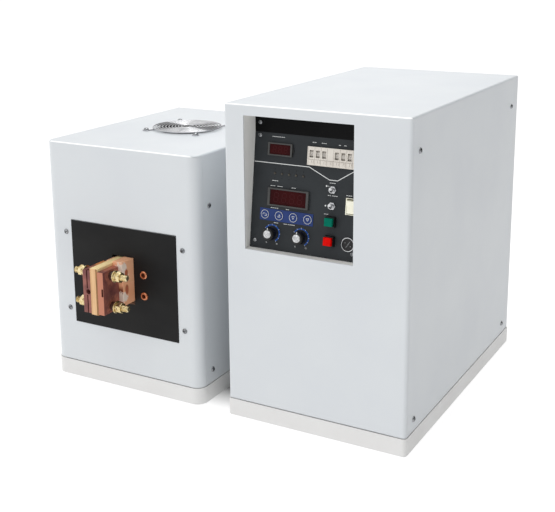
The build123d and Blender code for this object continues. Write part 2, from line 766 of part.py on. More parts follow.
half_throw = radians(toggle_throw / 2)
for name, (u, v) in zip(("toggle_lever_upper", "toggle_lever_lower"), toggle_spots):
    pivot = on_panel(u, v, toggle_pivot_lift)
    lean = tilt + half_throw
    lever_plane = Plane(origin=pivot.origin, x_dir=(1, 0, 0), z_dir=(0, -cos(lean), sin(lean)))
    with BuildPart() as toggle_lever:
        with BuildSketch(lever_plane):
            Circle(lever_root_radius)
        with BuildSketch(lever_plane.offset(lever_length)):
            Circle(lever_tip_radius)
        loft()
        with Locations(lever_plane.offset(lever_length)):
            Sphere(lever_tip_radius)
        with Locations(lever_plane):
            Sphere(lever_ball_radius)
    save(toggle_lever, name)

# Square push buttons in their collars
with BuildPart() as button_collars:
    for u, v in button_spots:
        with BuildSketch(on_panel(u, v, collar_lift)):
            Rectangle(collar_width, collar_height)
        extrude(amount=-(collar_lift + collar_depth))
        with BuildSketch(on_panel(u, v, collar_lift)):
            Rectangle(button_width + 2 * button_play, button_height + 2 * button_play)
        extrude(amount=-(collar_lift + collar_depth - collar_floor), mode=Mode.SUBTRACT)
save(button_collars, "button_collars")

for name, (u, v) in zip(("start_button", "stop_button"), button_spots):
    with BuildPart() as push_button:
        with BuildSketch(on_panel(u, v, button_lift)):
            RectangleRounded(button_width, button_height, 0.6)
        extrude(amount=-(button_lift + button_foot))
        fillet(push_button.edges().group_by(Axis(panel_plane.origin, panel_normal))[-1], 0.5)
        with BuildSketch(on_panel(u, v, -button_foot)):
            Circle(button_height / 4)
        extrude(amount=-(collar_depth - collar_floor - button_foot - button_travel - button_play))
    save(push_button, name)

# Rocker switch: a hollow frame and a key on a cross pin
with BuildPart() as rocker_frame:
    with BuildSketch(on_panel(rocker_u, rocker_v)):
        Rectangle(rocker_frame_width, rocker_frame_height)
    extrude(amount=rocker_frame_lift)
    with BuildSketch(on_panel(rocker_u, rocker_v)):
        Rectangle(rocker_body_width, rocker_body_height)
    extrude(amount=-rocker_body_depth)
    swing = sqrt(rocker_key_half_height**2 + (rocker_key_rise - rocker_pivot_lift) ** 2)
    with BuildSketch(on_panel(rocker_u, rocker_v, rocker_frame_lift)):
        Rectangle(2 * (rocker_key_half_width + rocker_play), 2 * (swing + rocker_play))
    extrude(amount=-(rocker_frame_lift + rocker_body_depth - rocker_floor), mode=Mode.SUBTRACT)
    pin_half = rocker_key_half_width + rocker_play + rocker_pin_reach
    pin_end = on_panel(rocker_u - pin_half, rocker_v, rocker_pivot_lift)
    with BuildSketch(Plane(origin=pin_end.origin, x_dir=(0, 1, 0), z_dir=(1, 0, 0))):
        Circle(rocker_pin_radius + running_play)
    extrude(amount=2 * pin_half, mode=Mode.SUBTRACT)
save(rocker_frame, "rocker_frame")

rocker_pivot = on_panel(rocker_u, rocker_v, rocker_pivot_lift)
rocker_lean = tilt - radians(rocker_throw / 2)
key_normal = Vector(0, -cos(rocker_lean), sin(rocker_lean))
key_start = rocker_pivot.origin - Vector(rocker_key_half_width, 0, 0)
with BuildPart() as rocker_key:
    with BuildSketch(Plane(origin=key_start, x_dir=key_normal, z_dir=(1, 0, 0))):
        with BuildLine():
            rise = rocker_key_rise - rocker_pivot_lift
            Polyline(
                (0.5, -rocker_key_half_height),
                (rise, -rocker_key_half_height),
                (rocker_key_dip - rocker_pivot_lift, 0),
                (rise, rocker_key_half_height),
                (0.5, rocker_key_half_height),
                (-rocker_key_root, 0),
                close=True,
            )
        make_face()
    extrude(amount=2 * rocker_key_half_width)
    pin_reach = rocker_play + rocker_pin_reach - 0.1
    pin_start = key_start - Vector(pin_reach, 0, 0)
    with BuildSketch(Plane(origin=pin_start, x_dir=(0, 1, 0), z_dir=(1, 0, 0))):
        Circle(rocker_pin_radius)
    extrude(amount=2 * (rocker_key_half_width + pin_reach))
save(rocker_key, "rocker_key")

# Round socket for a foot switch: collar, bore, insert with pins and a slanted key rib
with BuildPart() as foot_switch_socket:
    with BuildSketch(on_panel(socket_u, socket_v)):
        Circle(socket_radius)
    extrude(amount=socket_lift)
    with BuildSketch(on_panel(socket_u, socket_v)):
        Circle(socket_body_radius)
    extrude(amount=-socket_body_depth)
    with BuildSketch(on_panel(socket_u, socket_v, socket_lift)):
        Circle(socket_bore_radius)
    extrude(amount=-socket_bore_depth, mode=Mode.SUBTRACT)
    with BuildSketch(on_panel(socket_u, socket_v, socket_lift - socket_bore_depth)):
        with GridLocations(socket_pin_pitch, 1, 2, 1):
            Circle(socket_pin_radius)
    extrude(amount=socket_pin_length)
save(foot_switch_socket, "foot_switch_socket")

# Screws of the panel and the strip
panel_screw = pan_screw(panel_head_radius, panel_head_height, panel_shank_radius, panel_shank_length)
with BuildPart() as panel_screws:
    with Locations(*panel_seats, *strip_seats):
        add(panel_screw)
save(panel_screws, "panel_screws")

# Inside the power cabinet
with BuildPart() as control_board:
    board_y = front + control_board_y
    board_foot = shelf_height + shelf_thickness
    block(around(power_x, control_board_width), (board_y, board_y + control_board_thickness),
          (board_foot, board_foot + control_board_height))
    for x in (-control_board_width / 3, control_board_width / 3):
        block(around(power_x + x, control_board_foot), (board_y, board_y + control_board_foot),
              (board_foot, board_foot + control_board_thickness))
    with BuildSketch(facing_front(power_x, control_board_y, board_foot + control_board_height / 2)):
        with GridLocations(2.2 * control_chip_size, 2 * control_chip_size, 3, 2):
            Rectangle(control_chip_size, control_chip_size)
    extrude(amount=control_chip_height)
save(control_board, "control_board")

cold_plate_width = power_width - cold_plate_left_room - cold_plate_right_room
cold_x = power_left + cold_plate_left_room + cold_plate_width / 2
cold_y = power_back - cold_plate_rear_room - cold_plate_length / 2
cold_top = skirt_floor + cold_plate_lift + cold_plate_thickness
with BuildPart() as cold_plate:
    block(around(cold_x, cold_plate_width), around(cold_y, cold_plate_length),
          (cold_top - cold_plate_thickness, cold_top))
    with BuildSketch(Plane.XY.offset(skirt_floor)):
        with Locations((cold_x, cold_y)):
            with GridLocations(cold_plate_width - 3 * cold_plate_foot_radius,
                               cold_plate_length - 3 * cold_plate_foot_radius, 2, 2):
                Circle(cold_plate_foot_radius)
    extrude(amount=cold_plate_lift)
    cold_end = facing_back(cold_x, cold_y + cold_plate_length / 2, cold_top - cold_plate_thickness / 2)
    with BuildSketch(cold_end):
        with GridLocations(power_fitting_pitch, 1, 2, 1):
            Circle(cold_plate_pipe_radius)
    extrude(amount=cold_plate_pipe_length)
save(cold_plate, "cold_plate")

with BuildPart() as power_modules:
    with BuildSketch(Plane.XY.offset(cold_top)):
        with Locations((cold_x, cold_y)):
            with GridLocations(1, module_pitch, 1, module_count):
                Rectangle(module_width, module_length)
    extrude(amount=module_height)
save(power_modules, "power_modules")

with BuildPart() as bus_capacitors:
    with BuildSketch(Plane.XY.offset(board_foot)):
        with Locations((power_x, power_back - capacitor_rear_room)):
            with GridLocations(capacitor_pitch_x, capacitor_pitch_y, 2, 2):
                Circle(capacitor_radius)
    extrude(amount=capacitor_height)
    with BuildSketch(Plane.XY.offset(board_foot + capacitor_height)):
        with Locations((power_x, power_back - capacitor_rear_room)):
            with GridLocations(capacitor_pitch_x, capacitor_pitch_y, 2, 2):
                with GridLocations(capacitor_radius, 1, 2, 1):
                    Circle(capacitor_terminal_radius)
    extrude(amount=capacitor_terminal_height)
save(bus_capacitors, "bus_capacitors")

with BuildPart() as terminal_block:
    terminal_left = power_left + power_width - terminal_right_room - terminal_width
    terminal_front = power_back - terminal_rear_room - terminal_length
    block((terminal_left, terminal_left + terminal_width),
          (terminal_front, terminal_front + terminal_length),
          (skirt_floor, skirt_floor + terminal_height))
    with BuildSketch(Plane.XY.offset(skirt_floor + terminal_height)):
        with Locations((terminal_left + terminal_width / 2, terminal_front + terminal_length / 2)):
            with GridLocations(1, terminal_length / terminal_way_count, 1, terminal_way_count):
                Circle(terminal_way_radius)
    extrude(amount=-terminal_way_depth, mode=Mode.SUBTRACT)
save(terminal_block, "terminal_block")

# Output head: base with posts and the stand for the transformer core
core_x = busbar_x
core_front = front + core_y
stand_width = core_width + 2 * stand_margin
stand_depth = core_depth + 2 * stand_margin
with BuildPart() as head_base:
    add(head_tray)
    stand = core_front + core_depth / 2
    block(around(core_x, stand_width), around(stand, stand_depth), (core_z - stand_thickness, core_z))
    for side in (-1, 1):
        leg = core_x + side * (stand_width - stand_thickness) / 2
        block(around(leg, stand_thickness), around(stand, stand_depth), (skirt_floor, core_z))
    with Locations(*head_side_seats, *head_rear_seats):
        Hole(case_hole, sheet + frame_play + post_wall + 1)
save(head_base, "head_base")

# Output head: front pan with the square opening
with BuildPart() as head_front_panel:
    add(head_outer)
    add(head_inner, mode=Mode.SUBTRACT)
    keep_front(head_left, head_width, head_depth, head_height, head_return)
    block(around(busbar_x, board_width + 2 * board_gap), (front - 1, front + sheet + 1),
          around(board_z, board_height + 2 * board_gap), Mode.SUBTRACT)
    with Locations(*board_seats):
        Hole(case_hole, sheet + 0.5)
save(head_front_panel, "head_front_panel")

fan_top = head_height - sheet
with BuildPart() as head_cover:
    add(head_outer)
    add(head_inner, mode=Mode.SUBTRACT)
    keep_cover(head_left, head_width, head_height, head_return)
    with Locations(*head_side_seats):
        Hole(case_hole, sheet + 0.5)
    with Locations((fan_centre_x, fan_centre_y, head_height)):
        Hole(fan_opening_radius, sheet + 0.5)
    with Locations(*[seat.offset(-guard_ear_thickness) for seat in fan_seats]):
        Hole(case_hole, sheet + 0.5)
save(head_cover, "head_cover")

head_rear_panel = rear_panel(head_left, head_width, head_height, head_back, head_rear_seats,
                             head_fitting_seats, head_gland_seat, vent_head_z, head_vent_row_count)
save(head_rear_panel, "head_rear_panel")


# A slab from the front of the copper plates back into the case, between two distances from the
# middle of the pair
def busbar_slab(x_start, x_end, y_start, y_end, height, lift=0.0, mode=Mode.ADD):
    block(sorted((busbar_x + x_start, busbar_x + x_end)), (front + y_start, front + y_end),
          around(busbar_z + lift, height), mode)


# Faces of the output pieces, as distances from the middle of the thin insulator, by side
half_insulation = insulation_thickness / 2
block_face = half_insulation + insulation_block_thickness
inner_face = {-1: block_face, 1: half_insulation}
connector_thickness = {-1: left_connector_thickness, 1: right_connector_thickness}
connector_depth = {-1: left_connector_depth, 1: right_connector_depth}
connector_face = {side: inner_face[side] + connector_thickness[side] for side in (-1, 1)}
stud_tail = {-1: left_stud_tail, 1: right_stud_tail}
plate_rise = {-1: left_plate_rise, 1: right_plate_rise}
stud_y = front - busbar_reach + stud_setback
stud_seats = {
    side: [
        Plane(origin=(busbar_x, stud_y, busbar_z + z), x_dir=(0, 1, 0), z_dir=(side, 0, 0))
        for z in (-stud_spread / 2, stud_spread / 2)
    ]
    for side in (-1, 1)
}
coil_hole_x = busbar_x - block_face - coil_hole_inset
coil_slot_x = busbar_x + connector_face[1] - coil_slot_inset
slot_low = busbar_z + insulation_lift - insulation_height / 2 - slot_play
slot_high = busbar_z + right_plate_rise + slot_play

# Black insulating board: a flange behind the pan, and a face that stands just proud of the opening
with BuildPart() as insulating_board:
    block(around(busbar_x, board_width + 2 * board_flange_side),
          (front + sheet, front + sheet + board_flange_thickness),
          around(board_z, board_height + 2 * board_flange_rise))
    block(around(busbar_x, board_width), (front - board_proud, front + sheet),
          around(board_z, board_height))
    block(around(busbar_x, 2 * (plate_outer_face + slot_play)),
          (front - board_proud - 1, front + sheet + board_flange_thickness + 1),
          (slot_low, slot_high), Mode.SUBTRACT)
    with Locations(*board_seats):
        Hole(case_hole, sheet + board_flange_thickness + 1)
    with Locations(*[facing_front(port_x, -board_proud, z) for z in (port_upper_z, port_lower_z)]):
        Hole(port_radius + frame_play, board_proud + sheet + board_flange_thickness + 1)
save(insulating_board, "insulating_board")

# Copper plates that carry the current through the board, one behind each connector
with BuildPart() as base_plates:
    for side in (-1, 1):
        busbar_slab(side * inner_face[side], side * plate_outer_face,
                    connector_depth[side] - busbar_reach, busbar_inside, plate_foot + plate_rise[side],
                    (plate_rise[side] - plate_foot) / 2)
save(base_plates, "base_plates")

# A thin insulator and a thick one between the two sides, a little taller than the copper
with BuildPart() as insulation_sheet:
    busbar_slab(-half_insulation, half_insulation, -busbar_reach, busbar_inside,
                insulation_height, insulation_lift)
save(insulation_sheet, "insulation_sheet")

with BuildPart() as insulation_block:
    busbar_slab(-block_face, -half_insulation, -busbar_reach, busbar_inside,
                insulation_height, insulation_lift)
save(insulation_block, "insulation_block")

# Clamp connectors: a round coil hole between two groove lengths on the left, an upright slot on the right
with BuildPart() as clamp_connectors:
    for side in (-1, 1):
        busbar_slab(side * inner_face[side], side * connector_face[side],
                    -busbar_reach, connector_depth[side] - busbar_reach, connector_height)
        with Locations(*[seat.offset(connector_face[side]) for seat in stud_seats[side]]):
            Hole(stud_radius + thread_play, stud_embed)
    with Locations(facing_front(coil_hole_x, -busbar_reach, busbar_z)):
        Hole(coil_hole_radius, coil_hole_depth)
    with BuildSketch(facing_front(coil_slot_x, -busbar_reach, busbar_z + coil_slot_lift)):
        SlotOverall(coil_slot_height, coil_slot_width, rotation=90)
    extrude(amount=-coil_slot_depth, mode=Mode.SUBTRACT)
    groove_start = coil_hole_radius + groove_gap
    groove_length = connector_height / 2 - groove_start + 1
    for side in (-1, 1):
        block(around(busbar_x - block_face - groove_offset, groove_width),
              (front - busbar_reach - 1, front - busbar_reach + groove_depth),
              around(busbar_z + side * (groove_start + groove_length / 2), groove_length), Mode.SUBTRACT)
save(clamp_connectors, "clamp_connectors")

# Studs with spacers, washers and nuts, threaded into the connectors
with BuildPart() as connector_fasteners:
    for side in (-1, 1):
        spacer_face = connector_face[side] + spacer_thickness
        washer_face = spacer_face + washer_thickness
        spring_face = washer_face + spring_washer_thickness
        nut_face = spring_face + nut_height
        stud_start = connector_face[side] - stud_embed + 0.5
        for seat in stud_seats[side]:
            with BuildSketch(seat.offset(stud_start)):
                Circle(stud_radius)
            extrude(amount=nut_face + stud_tail[side] - stud_start)
            with BuildSketch(seat.offset(connector_face[side])):
                Circle(spacer_radius)
                Circle(stud_radius + screw_play, mode=Mode.SUBTRACT)
            extrude(amount=spacer_thickness)
            with BuildSketch(seat.offset(spacer_face)):
                Circle(washer_radius)
                Circle(stud_radius + screw_play, mode=Mode.SUBTRACT)
            extrude(amount=washer_thickness)
            with BuildSketch(seat.offset(washer_face)):
                Circle(spring_washer_radius)
                Circle(stud_radius + screw_play, mode=Mode.SUBTRACT)
            extrude(amount=spring_washer_thickness)
            with BuildSketch(seat.offset(spring_face)):
                RegularPolygon(nut_across_flats / 2, 6, major_radius=False, rotation=30)
                Circle(stud_radius + thread_play, mode=Mode.SUBTRACT)
            extrude(amount=nut_height)
save(connector_fasteners, "connector_fasteners")

# Copper water ports through the board, with a collar behind it
with BuildPart() as water_ports:
    for z in (port_upper_z, port_lower_z):
        mouth = facing_front(port_x, -board_proud - port_proud, z)
        with BuildSketch(mouth):
            Circle(port_radius)
        extrude(amount=-(port_proud + board_proud + port_inside))
        with BuildSketch(facing_front(port_x, sheet + board_flange_thickness, z)):
            Circle(port_collar_radius)
        extrude(amount=-port_collar_thickness)
    chamfer(water_ports.faces().sort_by(Axis.Y)[:2].edges(), port_edge)
    with Locations(*[facing_front(port_x, -board_proud - port_proud, z)
                     for z in (port_upper_z, port_lower_z)]):
        Hole(port_bore_radius, port_proud + board_proud + port_inside + 1)
save(water_ports, "water_ports")

# Fan: frame with a seat and axle, and the bladed rotor
with BuildPart() as fan_frame:
    with BuildSketch(Plane.XY.offset(fan_top - fan_depth)):
        with Locations((fan_centre_x, fan_centre_y)):
            RectangleRounded(fan_size, fan_size, fan_corner)
            Circle(fan_bore_radius, mode=Mode.SUBTRACT)
            with GridLocations(fan_hole_spread, fan_hole_spread, 2, 2):
                Circle(case_hole, mode=Mode.SUBTRACT)
    extrude(amount=fan_depth)
    with BuildSketch(Plane.XY.offset(fan_top - fan_depth)):
        with Locations((fan_centre_x, fan_centre_y)):
            Circle(fan_seat_radius)
            with PolarLocations(0, 3):
                with Locations(((fan_bore_radius + 1) / 2, 0)):
                    Rectangle(fan_bore_radius + 1, fan_strut_width)
    extrude(amount=fan_seat_height)
    with BuildSketch(Plane.XY.offset(fan_top - fan_depth + fan_seat_height)):
        with Locations((fan_centre_x, fan_centre_y)):
            Circle(fan_axle_radius)
    extrude(amount=fan_axle_length)
save(fan_frame, "fan_frame")

rotor_base = fan_top - fan_depth + fan_seat_height + fan_running_gap
blade_span = fan_blade_radius - fan_hub_radius + 2
with BuildPart() as fan_rotor:
    with BuildSketch(Plane.XY.offset(rotor_base)):
        with Locations((fan_centre_x, fan_centre_y)):
            Circle(fan_hub_radius)
    extrude(amount=fan_hub_height)
    blade_z = rotor_base + fan_hub_height / 2
    for i in range(fan_blade_count):
        angle = 360 / fan_blade_count * i
        reach = Vector(cos(radians(angle)), sin(radians(angle)), 0)
        root = Vector(fan_centre_x, fan_centre_y, blade_z) + reach * (fan_hub_radius - 2)
        across = Vector(-sin(radians(angle)), cos(radians(angle)), 0)
        pitch = radians(fan_blade_pitch)
        lay = across * cos(pitch) + Vector(0, 0, sin(pitch))
        with BuildSketch(Plane(origin=root, x_dir=lay, z_dir=reach)):
            Rectangle(fan_blade_height / sin(pitch), fan_blade_thickness)
        extrude(amount=blade_span)
    with Locations((fan_centre_x, fan_centre_y, rotor_base)):
        Cylinder(fan_axle_radius + running_play, fan_axle_length, mode=Mode.SUBTRACT,
                 align=(Align.CENTER, Align.CENTER, Align.MIN))
save(fan_rotor, "fan_rotor")

# Fan guard: rings on four spokes that end in ears under the screws
spoke_z = head_height + guard_spoke_radius
ring_z = spoke_z + guard_spoke_radius + guard_wire_radius - guard_weld
with BuildPart() as fan_guard:
    for i in range(guard_ring_count):
        with Locations((fan_centre_x, fan_centre_y, ring_z)):
            Torus(guard_ring_radius - i * guard_ring_pitch, guard_wire_radius)
    spoke_start = guard_ring_radius - guard_ring_pitch * (guard_ring_count - 1) - 1
    spoke_end = fan_hole_spread / 2 * sqrt(2) - case_head_radius - screw_play
    for i in range(4):
        angle = radians(45 + 90 * i)
        reach = Vector(cos(angle), sin(angle), 0)
        start = Vector(fan_centre_x, fan_centre_y, spoke_z) + reach * spoke_start
        with BuildSketch(Plane(origin=start, z_dir=reach)):
            Circle(guard_spoke_radius)
        extrude(amount=spoke_end - spoke_start)
    with BuildSketch(Plane.XY.offset(head_height)):
        with Locations((fan_centre_x, fan_centre_y)):
            with GridLocations(fan_hole_spread, fan_hole_spread, 2, 2):
                Circle(guard_ear_radius)
    extrude(amount=guard_ear_thickness)
    with Locations(*fan_seats):
        Hole(case_hole, guard_ear_thickness + 1)
save(fan_guard, "fan_guard")

# Output transformer: frame-shaped core with a winding on each leg
with BuildPart() as transformer_core:
    with BuildSketch(facing_front(core_x, core_y, core_z + core_height / 2)):
        Rectangle(core_width, core_height)
        Rectangle(core_width - 2 * core_leg, core_height - 2 * core_yoke, mode=Mode.SUBTRACT)
    extrude(amount=-core_depth)
save(transformer_core, "transformer_core")

with BuildPart() as primary_windings:
    with BuildSketch(Plane.XY.offset(core_z + core_yoke)):
        for side in (-1, 1):
            leg_x = core_x + side * (core_width - core_leg) / 2
            with Locations((leg_x, core_front + core_depth / 2)):
                Rectangle(core_leg + 2 * (winding_play + winding_thickness),
                          core_depth + 2 * (winding_play + winding_thickness))
                Rectangle(core_leg + 2 * winding_play, core_depth + 2 * winding_play, mode=Mode.SUBTRACT)
    extrude(amount=winding_height)
save(primary_windings, "primary_windings")

with BuildPart() as resonance_capacitors:
    with BuildSketch(Plane.XY.offset(skirt_floor)):
        with Locations((head_x, head_back - resonance_rear_room - resonance_length / 2)):
            with GridLocations(resonance_pitch, 1, resonance_count, 1):
                Rectangle(resonance_width, resonance_length)
    extrude(amount=resonance_height)
    with BuildSketch(Plane.XY.offset(skirt_floor + resonance_height)):
        with Locations((head_x, head_back - resonance_rear_room - resonance_length / 2)):
            with GridLocations(resonance_pitch, resonance_length / 2, resonance_count, 2):
                Circle(resonance_stud_radius)
    extrude(amount=resonance_stud_height)
save(resonance_capacitors, "resonance_capacitors")

# Hose fittings and cable glands on the rear panels
with BuildPart() as water_fittings:
    for seat in (*power_fitting_seats, *head_fitting_seats):
        with BuildSketch(seat):
            Circle(fitting_flange_radius)
        extrude(amount=fitting_flange_thickness)
        with BuildSketch(seat):
            Circle(fitting_radius)
        extrude(amount=fitting_reach)
        with BuildSketch(seat):
            Circle(fitting_thread_radius)
        extrude(amount=-fitting_inside)
    with Locations(*[seat.offset(fitting_reach) for seat in (*power_fitting_seats, *head_fitting_seats)]):
        Hole(fitting_bore_radius, fitting_reach + fitting_inside + 1)
save(water_fittings, "water_fittings")

with BuildPart() as cable_glands:
    for seat in (power_gland_seat, head_gland_seat):
        with BuildSketch(seat):
            RegularPolygon(gland_radius, 6)
        extrude(amount=gland_reach / 3)
        with BuildSketch(seat):
            Circle(gland_thread_radius)
        extrude(amount=gland_reach)
        with BuildSketch(seat):
            Circle(gland_thread_radius)
        extrude(amount=-gland_inside)
    with Locations(power_gland_seat.offset(gland_reach), head_gland_seat.offset(gland_reach)):
        Hole(gland_bore_radius, gland_reach + gland_inside + 1)
save(cable_glands, "cable_glands")

# Case screws, alike on the sides, the backs, the board and the fan guard
case_screw = pan_screw(case_head_radius, case_head_height, case_shank_radius, case_shank_length)
board_screw = pan_screw(case_head_radius, case_head_height, case_shank_radius, board_shank_length)
fan_screw = pan_screw(case_head_radius, case_head_height, case_shank_radius, fan_shank_length)
with BuildPart() as case_screws:
    with Locations(*power_side_seats, *head_side_seats, *power_rear_seats, *head_rear_seats):
        add(case_screw)
    with Locations(*board_seats):
        add(board_screw)
    with Locations(*fan_seats):
        add(fan_screw)
save(case_screws, "case_screws")
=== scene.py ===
# Induction heater: finishes, fine parts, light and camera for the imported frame
from math import cos, pi, radians, sin

import bmesh
import bpy
from mathutils import Matrix, Vector


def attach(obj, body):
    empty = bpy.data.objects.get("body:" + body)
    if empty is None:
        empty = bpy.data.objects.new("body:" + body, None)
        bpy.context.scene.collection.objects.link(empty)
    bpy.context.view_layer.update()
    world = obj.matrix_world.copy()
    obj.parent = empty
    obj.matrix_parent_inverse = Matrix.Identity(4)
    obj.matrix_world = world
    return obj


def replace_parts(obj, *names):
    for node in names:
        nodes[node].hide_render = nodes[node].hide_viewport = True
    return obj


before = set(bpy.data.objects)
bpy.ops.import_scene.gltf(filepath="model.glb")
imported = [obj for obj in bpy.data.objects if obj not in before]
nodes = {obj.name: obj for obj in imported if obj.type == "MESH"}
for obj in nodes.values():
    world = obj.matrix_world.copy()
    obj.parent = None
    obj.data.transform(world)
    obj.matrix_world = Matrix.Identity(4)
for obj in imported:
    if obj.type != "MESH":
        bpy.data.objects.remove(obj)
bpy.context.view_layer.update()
print("frame loaded with", len(nodes), "nodes")

mm = 0.001
inPlace = Matrix.Identity(4)

# The leaning control panel: u runs right, v runs up the slope, lift stands off it, all in mm
panel = {"centre": (120.5, -173.0, 223.0), "tilt": 7.1}


def axes(right, up, out, spot):
    place = Matrix.Identity(4)
    for row in range(3):
        place[row][:] = right[row], up[row], out[row], spot[row]
    return place


def onPanel(u=0.0, v=0.0, lift=0.0):
    lean = radians(panel["tilt"])
    up = Vector((0, sin(lean), cos(lean)))
    out = Vector((0, -cos(lean), sin(lean)))
    spot = Vector(panel["centre"]) + Vector((u, 0, 0)) + up * v + out * lift
    return axes((1, 0, 0), up, out, spot)


# Small makers used by many pieces
def addObject(name, data):
    added = bpy.data.objects.new(name, data)
    bpy.context.scene.collection.objects.link(added)
    return added


def toMesh(bm, name):
    mesh = bpy.data.meshes.new(name)
    bm.to_mesh(mesh)
    bm.free()
    return mesh


def addPiece(name, mesh, material, body, smooth=35):
    mesh.materials.clear()
    mesh.materials.append(material)
    mesh.polygons.foreach_set("material_index", [0] * len(mesh.polygons))
    mesh.polygons.foreach_set("use_smooth", [True] * len(mesh.polygons))
    mesh.set_sharp_from_angle(angle=radians(smooth))
    piece = addObject(name, mesh)
    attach(piece, body)
    return piece


def fromBmesh(name, bm, place, material, body, smooth=35):
    bmesh.ops.remove_doubles(bm, verts=bm.verts, dist=1e-5)
    bmesh.ops.recalc_face_normals(bm, faces=bm.faces)
    bm.transform(Matrix.Scale(mm, 4) @ place)
    return addPiece(name, toMesh(bm, name), material, body, smooth)


def around(radius, turn, middle=(0.0, 0.0)):
    return middle[0] + radius * cos(turn), middle[1] + radius * sin(turn)


# Walls from ring to ring, where a ring of one point is a pole; closed joins the last ring to the first
def addWalls(bm, rings, closed=False):
    count = max(len(ring) for ring in rings)
    for low, high in zip(rings, rings[1:] + rings[:1] if closed else rings[1:]):
        for i in range(count):
            j = (i + 1) % count
            corners = [low[i % len(low)], low[j % len(low)], high[j % len(high)], high[i % len(high)]]
            unique = list(dict.fromkeys(corners))
            if len(unique) > 2:
                bm.faces.new(unique)


# An outline raised from low to high
def addPrism(bm, outline, low, high):
    rings = [[bm.verts.new((x, y, z)) for x, y in outline] for z in (low, high)]
    addWalls(bm, rings)
    for ring in rings:
        bm.faces.new(ring)


# A turned shape: the profile is (radius, height) from the axis out and back to it
def addTurned(bm, profile, segments=48, middle=(0.0, 0.0)):
    rings = []
    for radius, height in profile:
        steps = segments if radius else 1
        rings.append([bm.verts.new((*around(radius, 2 * pi * i / segments, middle), height)) for i in range(steps)])
    addWalls(bm, rings, closed=bool(profile[0][0] and profile[-1][0]))
    return [v for ring in rings for v in ring]


def disc(radius, low, high):
    return [(0, low), (radius, low), (radius, high), (0, high)]


# The outline of a ribbon that follows points with a constant width
def ribbon(points, width):
    left, right = [], []
    for i, (x, y) in enumerate(points):
        here = Vector((x, y))
        behind = here - Vector(points[i - 1]) if i else Vector(points[1]) - here
        ahead = Vector(points[i + 1]) - here if i + 1 < len(points) else behind
        a, b = ahead.normalized(), behind.normalized()
        side = Vector((-a.y - b.y, a.x + b.x)).normalized()
        reach = width / 2 / max(0.3, side.dot(Vector((-a.y, a.x))))   # 0.3 keeps a sharp bend from running out
        left.append((x + side.x * reach, y + side.y * reach))
        right.append((x - side.x * reach, y - side.y * reach))
    return right + left[::-1]


def arcPoints(radius, start, end, count, middle):
    return [around(radius, radians(start + (end - start) * i / (count - 1)), middle) for i in range(count)]


def rectangle(u, v, width, height):
    return [(u - width / 2, v - height / 2), (u + width / 2, v - height / 2),
            (u + width / 2, v + height / 2), (u - width / 2, v + height / 2)]


def textMesh(words, size, depth=0.05):
    curve = bpy.data.curves.new("letters", "FONT")
    curve.body = words
    curve.size = size
    curve.extrude = depth / 2
    curve.align_x = curve.align_y = "CENTER"
    curve.resolution_u = 3
    holder = bpy.data.objects.new("letters", curve)
    mesh = bpy.data.meshes.new_from_object(holder)
    bpy.data.objects.remove(holder)
    return mesh


# The CAD piece again, with merged corners and eased edges, in place of its node
def easedCopy(node, material, width):
    bm = bmesh.new()
    bm.from_mesh(nodes[node].data)
    bmesh.ops.remove_doubles(bm, verts=bm.verts, dist=1e-6)
    bmesh.ops.dissolve_limit(bm, angle_limit=radians(1), verts=bm.verts, edges=bm.edges)
    name = node + "_eased"
    piece = addPiece(name, toMesh(bm, name), material, "cabinets")
    ease = piece.modifiers.new("ease", "BEVEL")
    ease.width = width * mm
    ease.segments = 2
    ease.limit_method = "ANGLE"
    ease.angle_limit = radians(40)
    ease.harden_normals = True
    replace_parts(piece, node)


# An input takes a value, a socket, or a node for its first output, and a list joins several
def fill(node, inputs):
    for key, given in inputs.items():
        for value in given if isinstance(given, list) else [given]:
            source = value.outputs[0] if isinstance(value, bpy.types.Node) else value
            if isinstance(source, bpy.types.NodeSocket):
                node.id_data.links.new(source, node.inputs[key])
            else:
                node.inputs[key].default_value = source
    return node


def treeNode(tree, kind, inputs=None, **settings):
    node = tree.nodes.new(kind)
    for key, value in settings.items():
        setattr(node, key, value)
    return fill(node, inputs or {})


def maths(tree, operation, *values):
    return treeNode(tree, "ShaderNodeMath", dict(enumerate(values)), operation=operation)


def combine(tree, x, y, z):
    return treeNode(tree, "ShaderNodeCombineXYZ", {"X": x, "Y": y, "Z": z})


def ranged(tree, value, low, high, toLow=0.0, toHigh=1.0):
    return treeNode(tree, "ShaderNodeMapRange", {"Value": value, "From Min": low, "From Max": high, "To Min": toLow,
                                                 "To Max": toHigh})


# A geometry tree and its inputs: the points or mesh it runs on, and the named sizes
def newTree(name, sizes):
    tree = bpy.data.node_groups.new(name, "GeometryNodeTree")
    tree.interface.new_socket("Geometry", in_out="INPUT", socket_type="NodeSocketGeometry")
    for label, value in sizes.items():
        kind = "NodeSocketInt" if isinstance(value, int) else "NodeSocketFloat"
        tree.interface.new_socket(label, in_out="INPUT", socket_type=kind).default_value = value
    tree.interface.new_socket("Geometry", in_out="OUTPUT", socket_type="NodeSocketGeometry")
    return tree, tree.nodes.new("NodeGroupInput").outputs


def closeTree(tree, geometry, material):
    real = treeNode(tree, "GeometryNodeRealizeInstances", {"Geometry": geometry})
    painted = treeNode(tree, "GeometryNodeSetMaterial", {"Geometry": real, "Material": material})
    treeNode(tree, "NodeGroupOutput", {0: painted})
    return tree


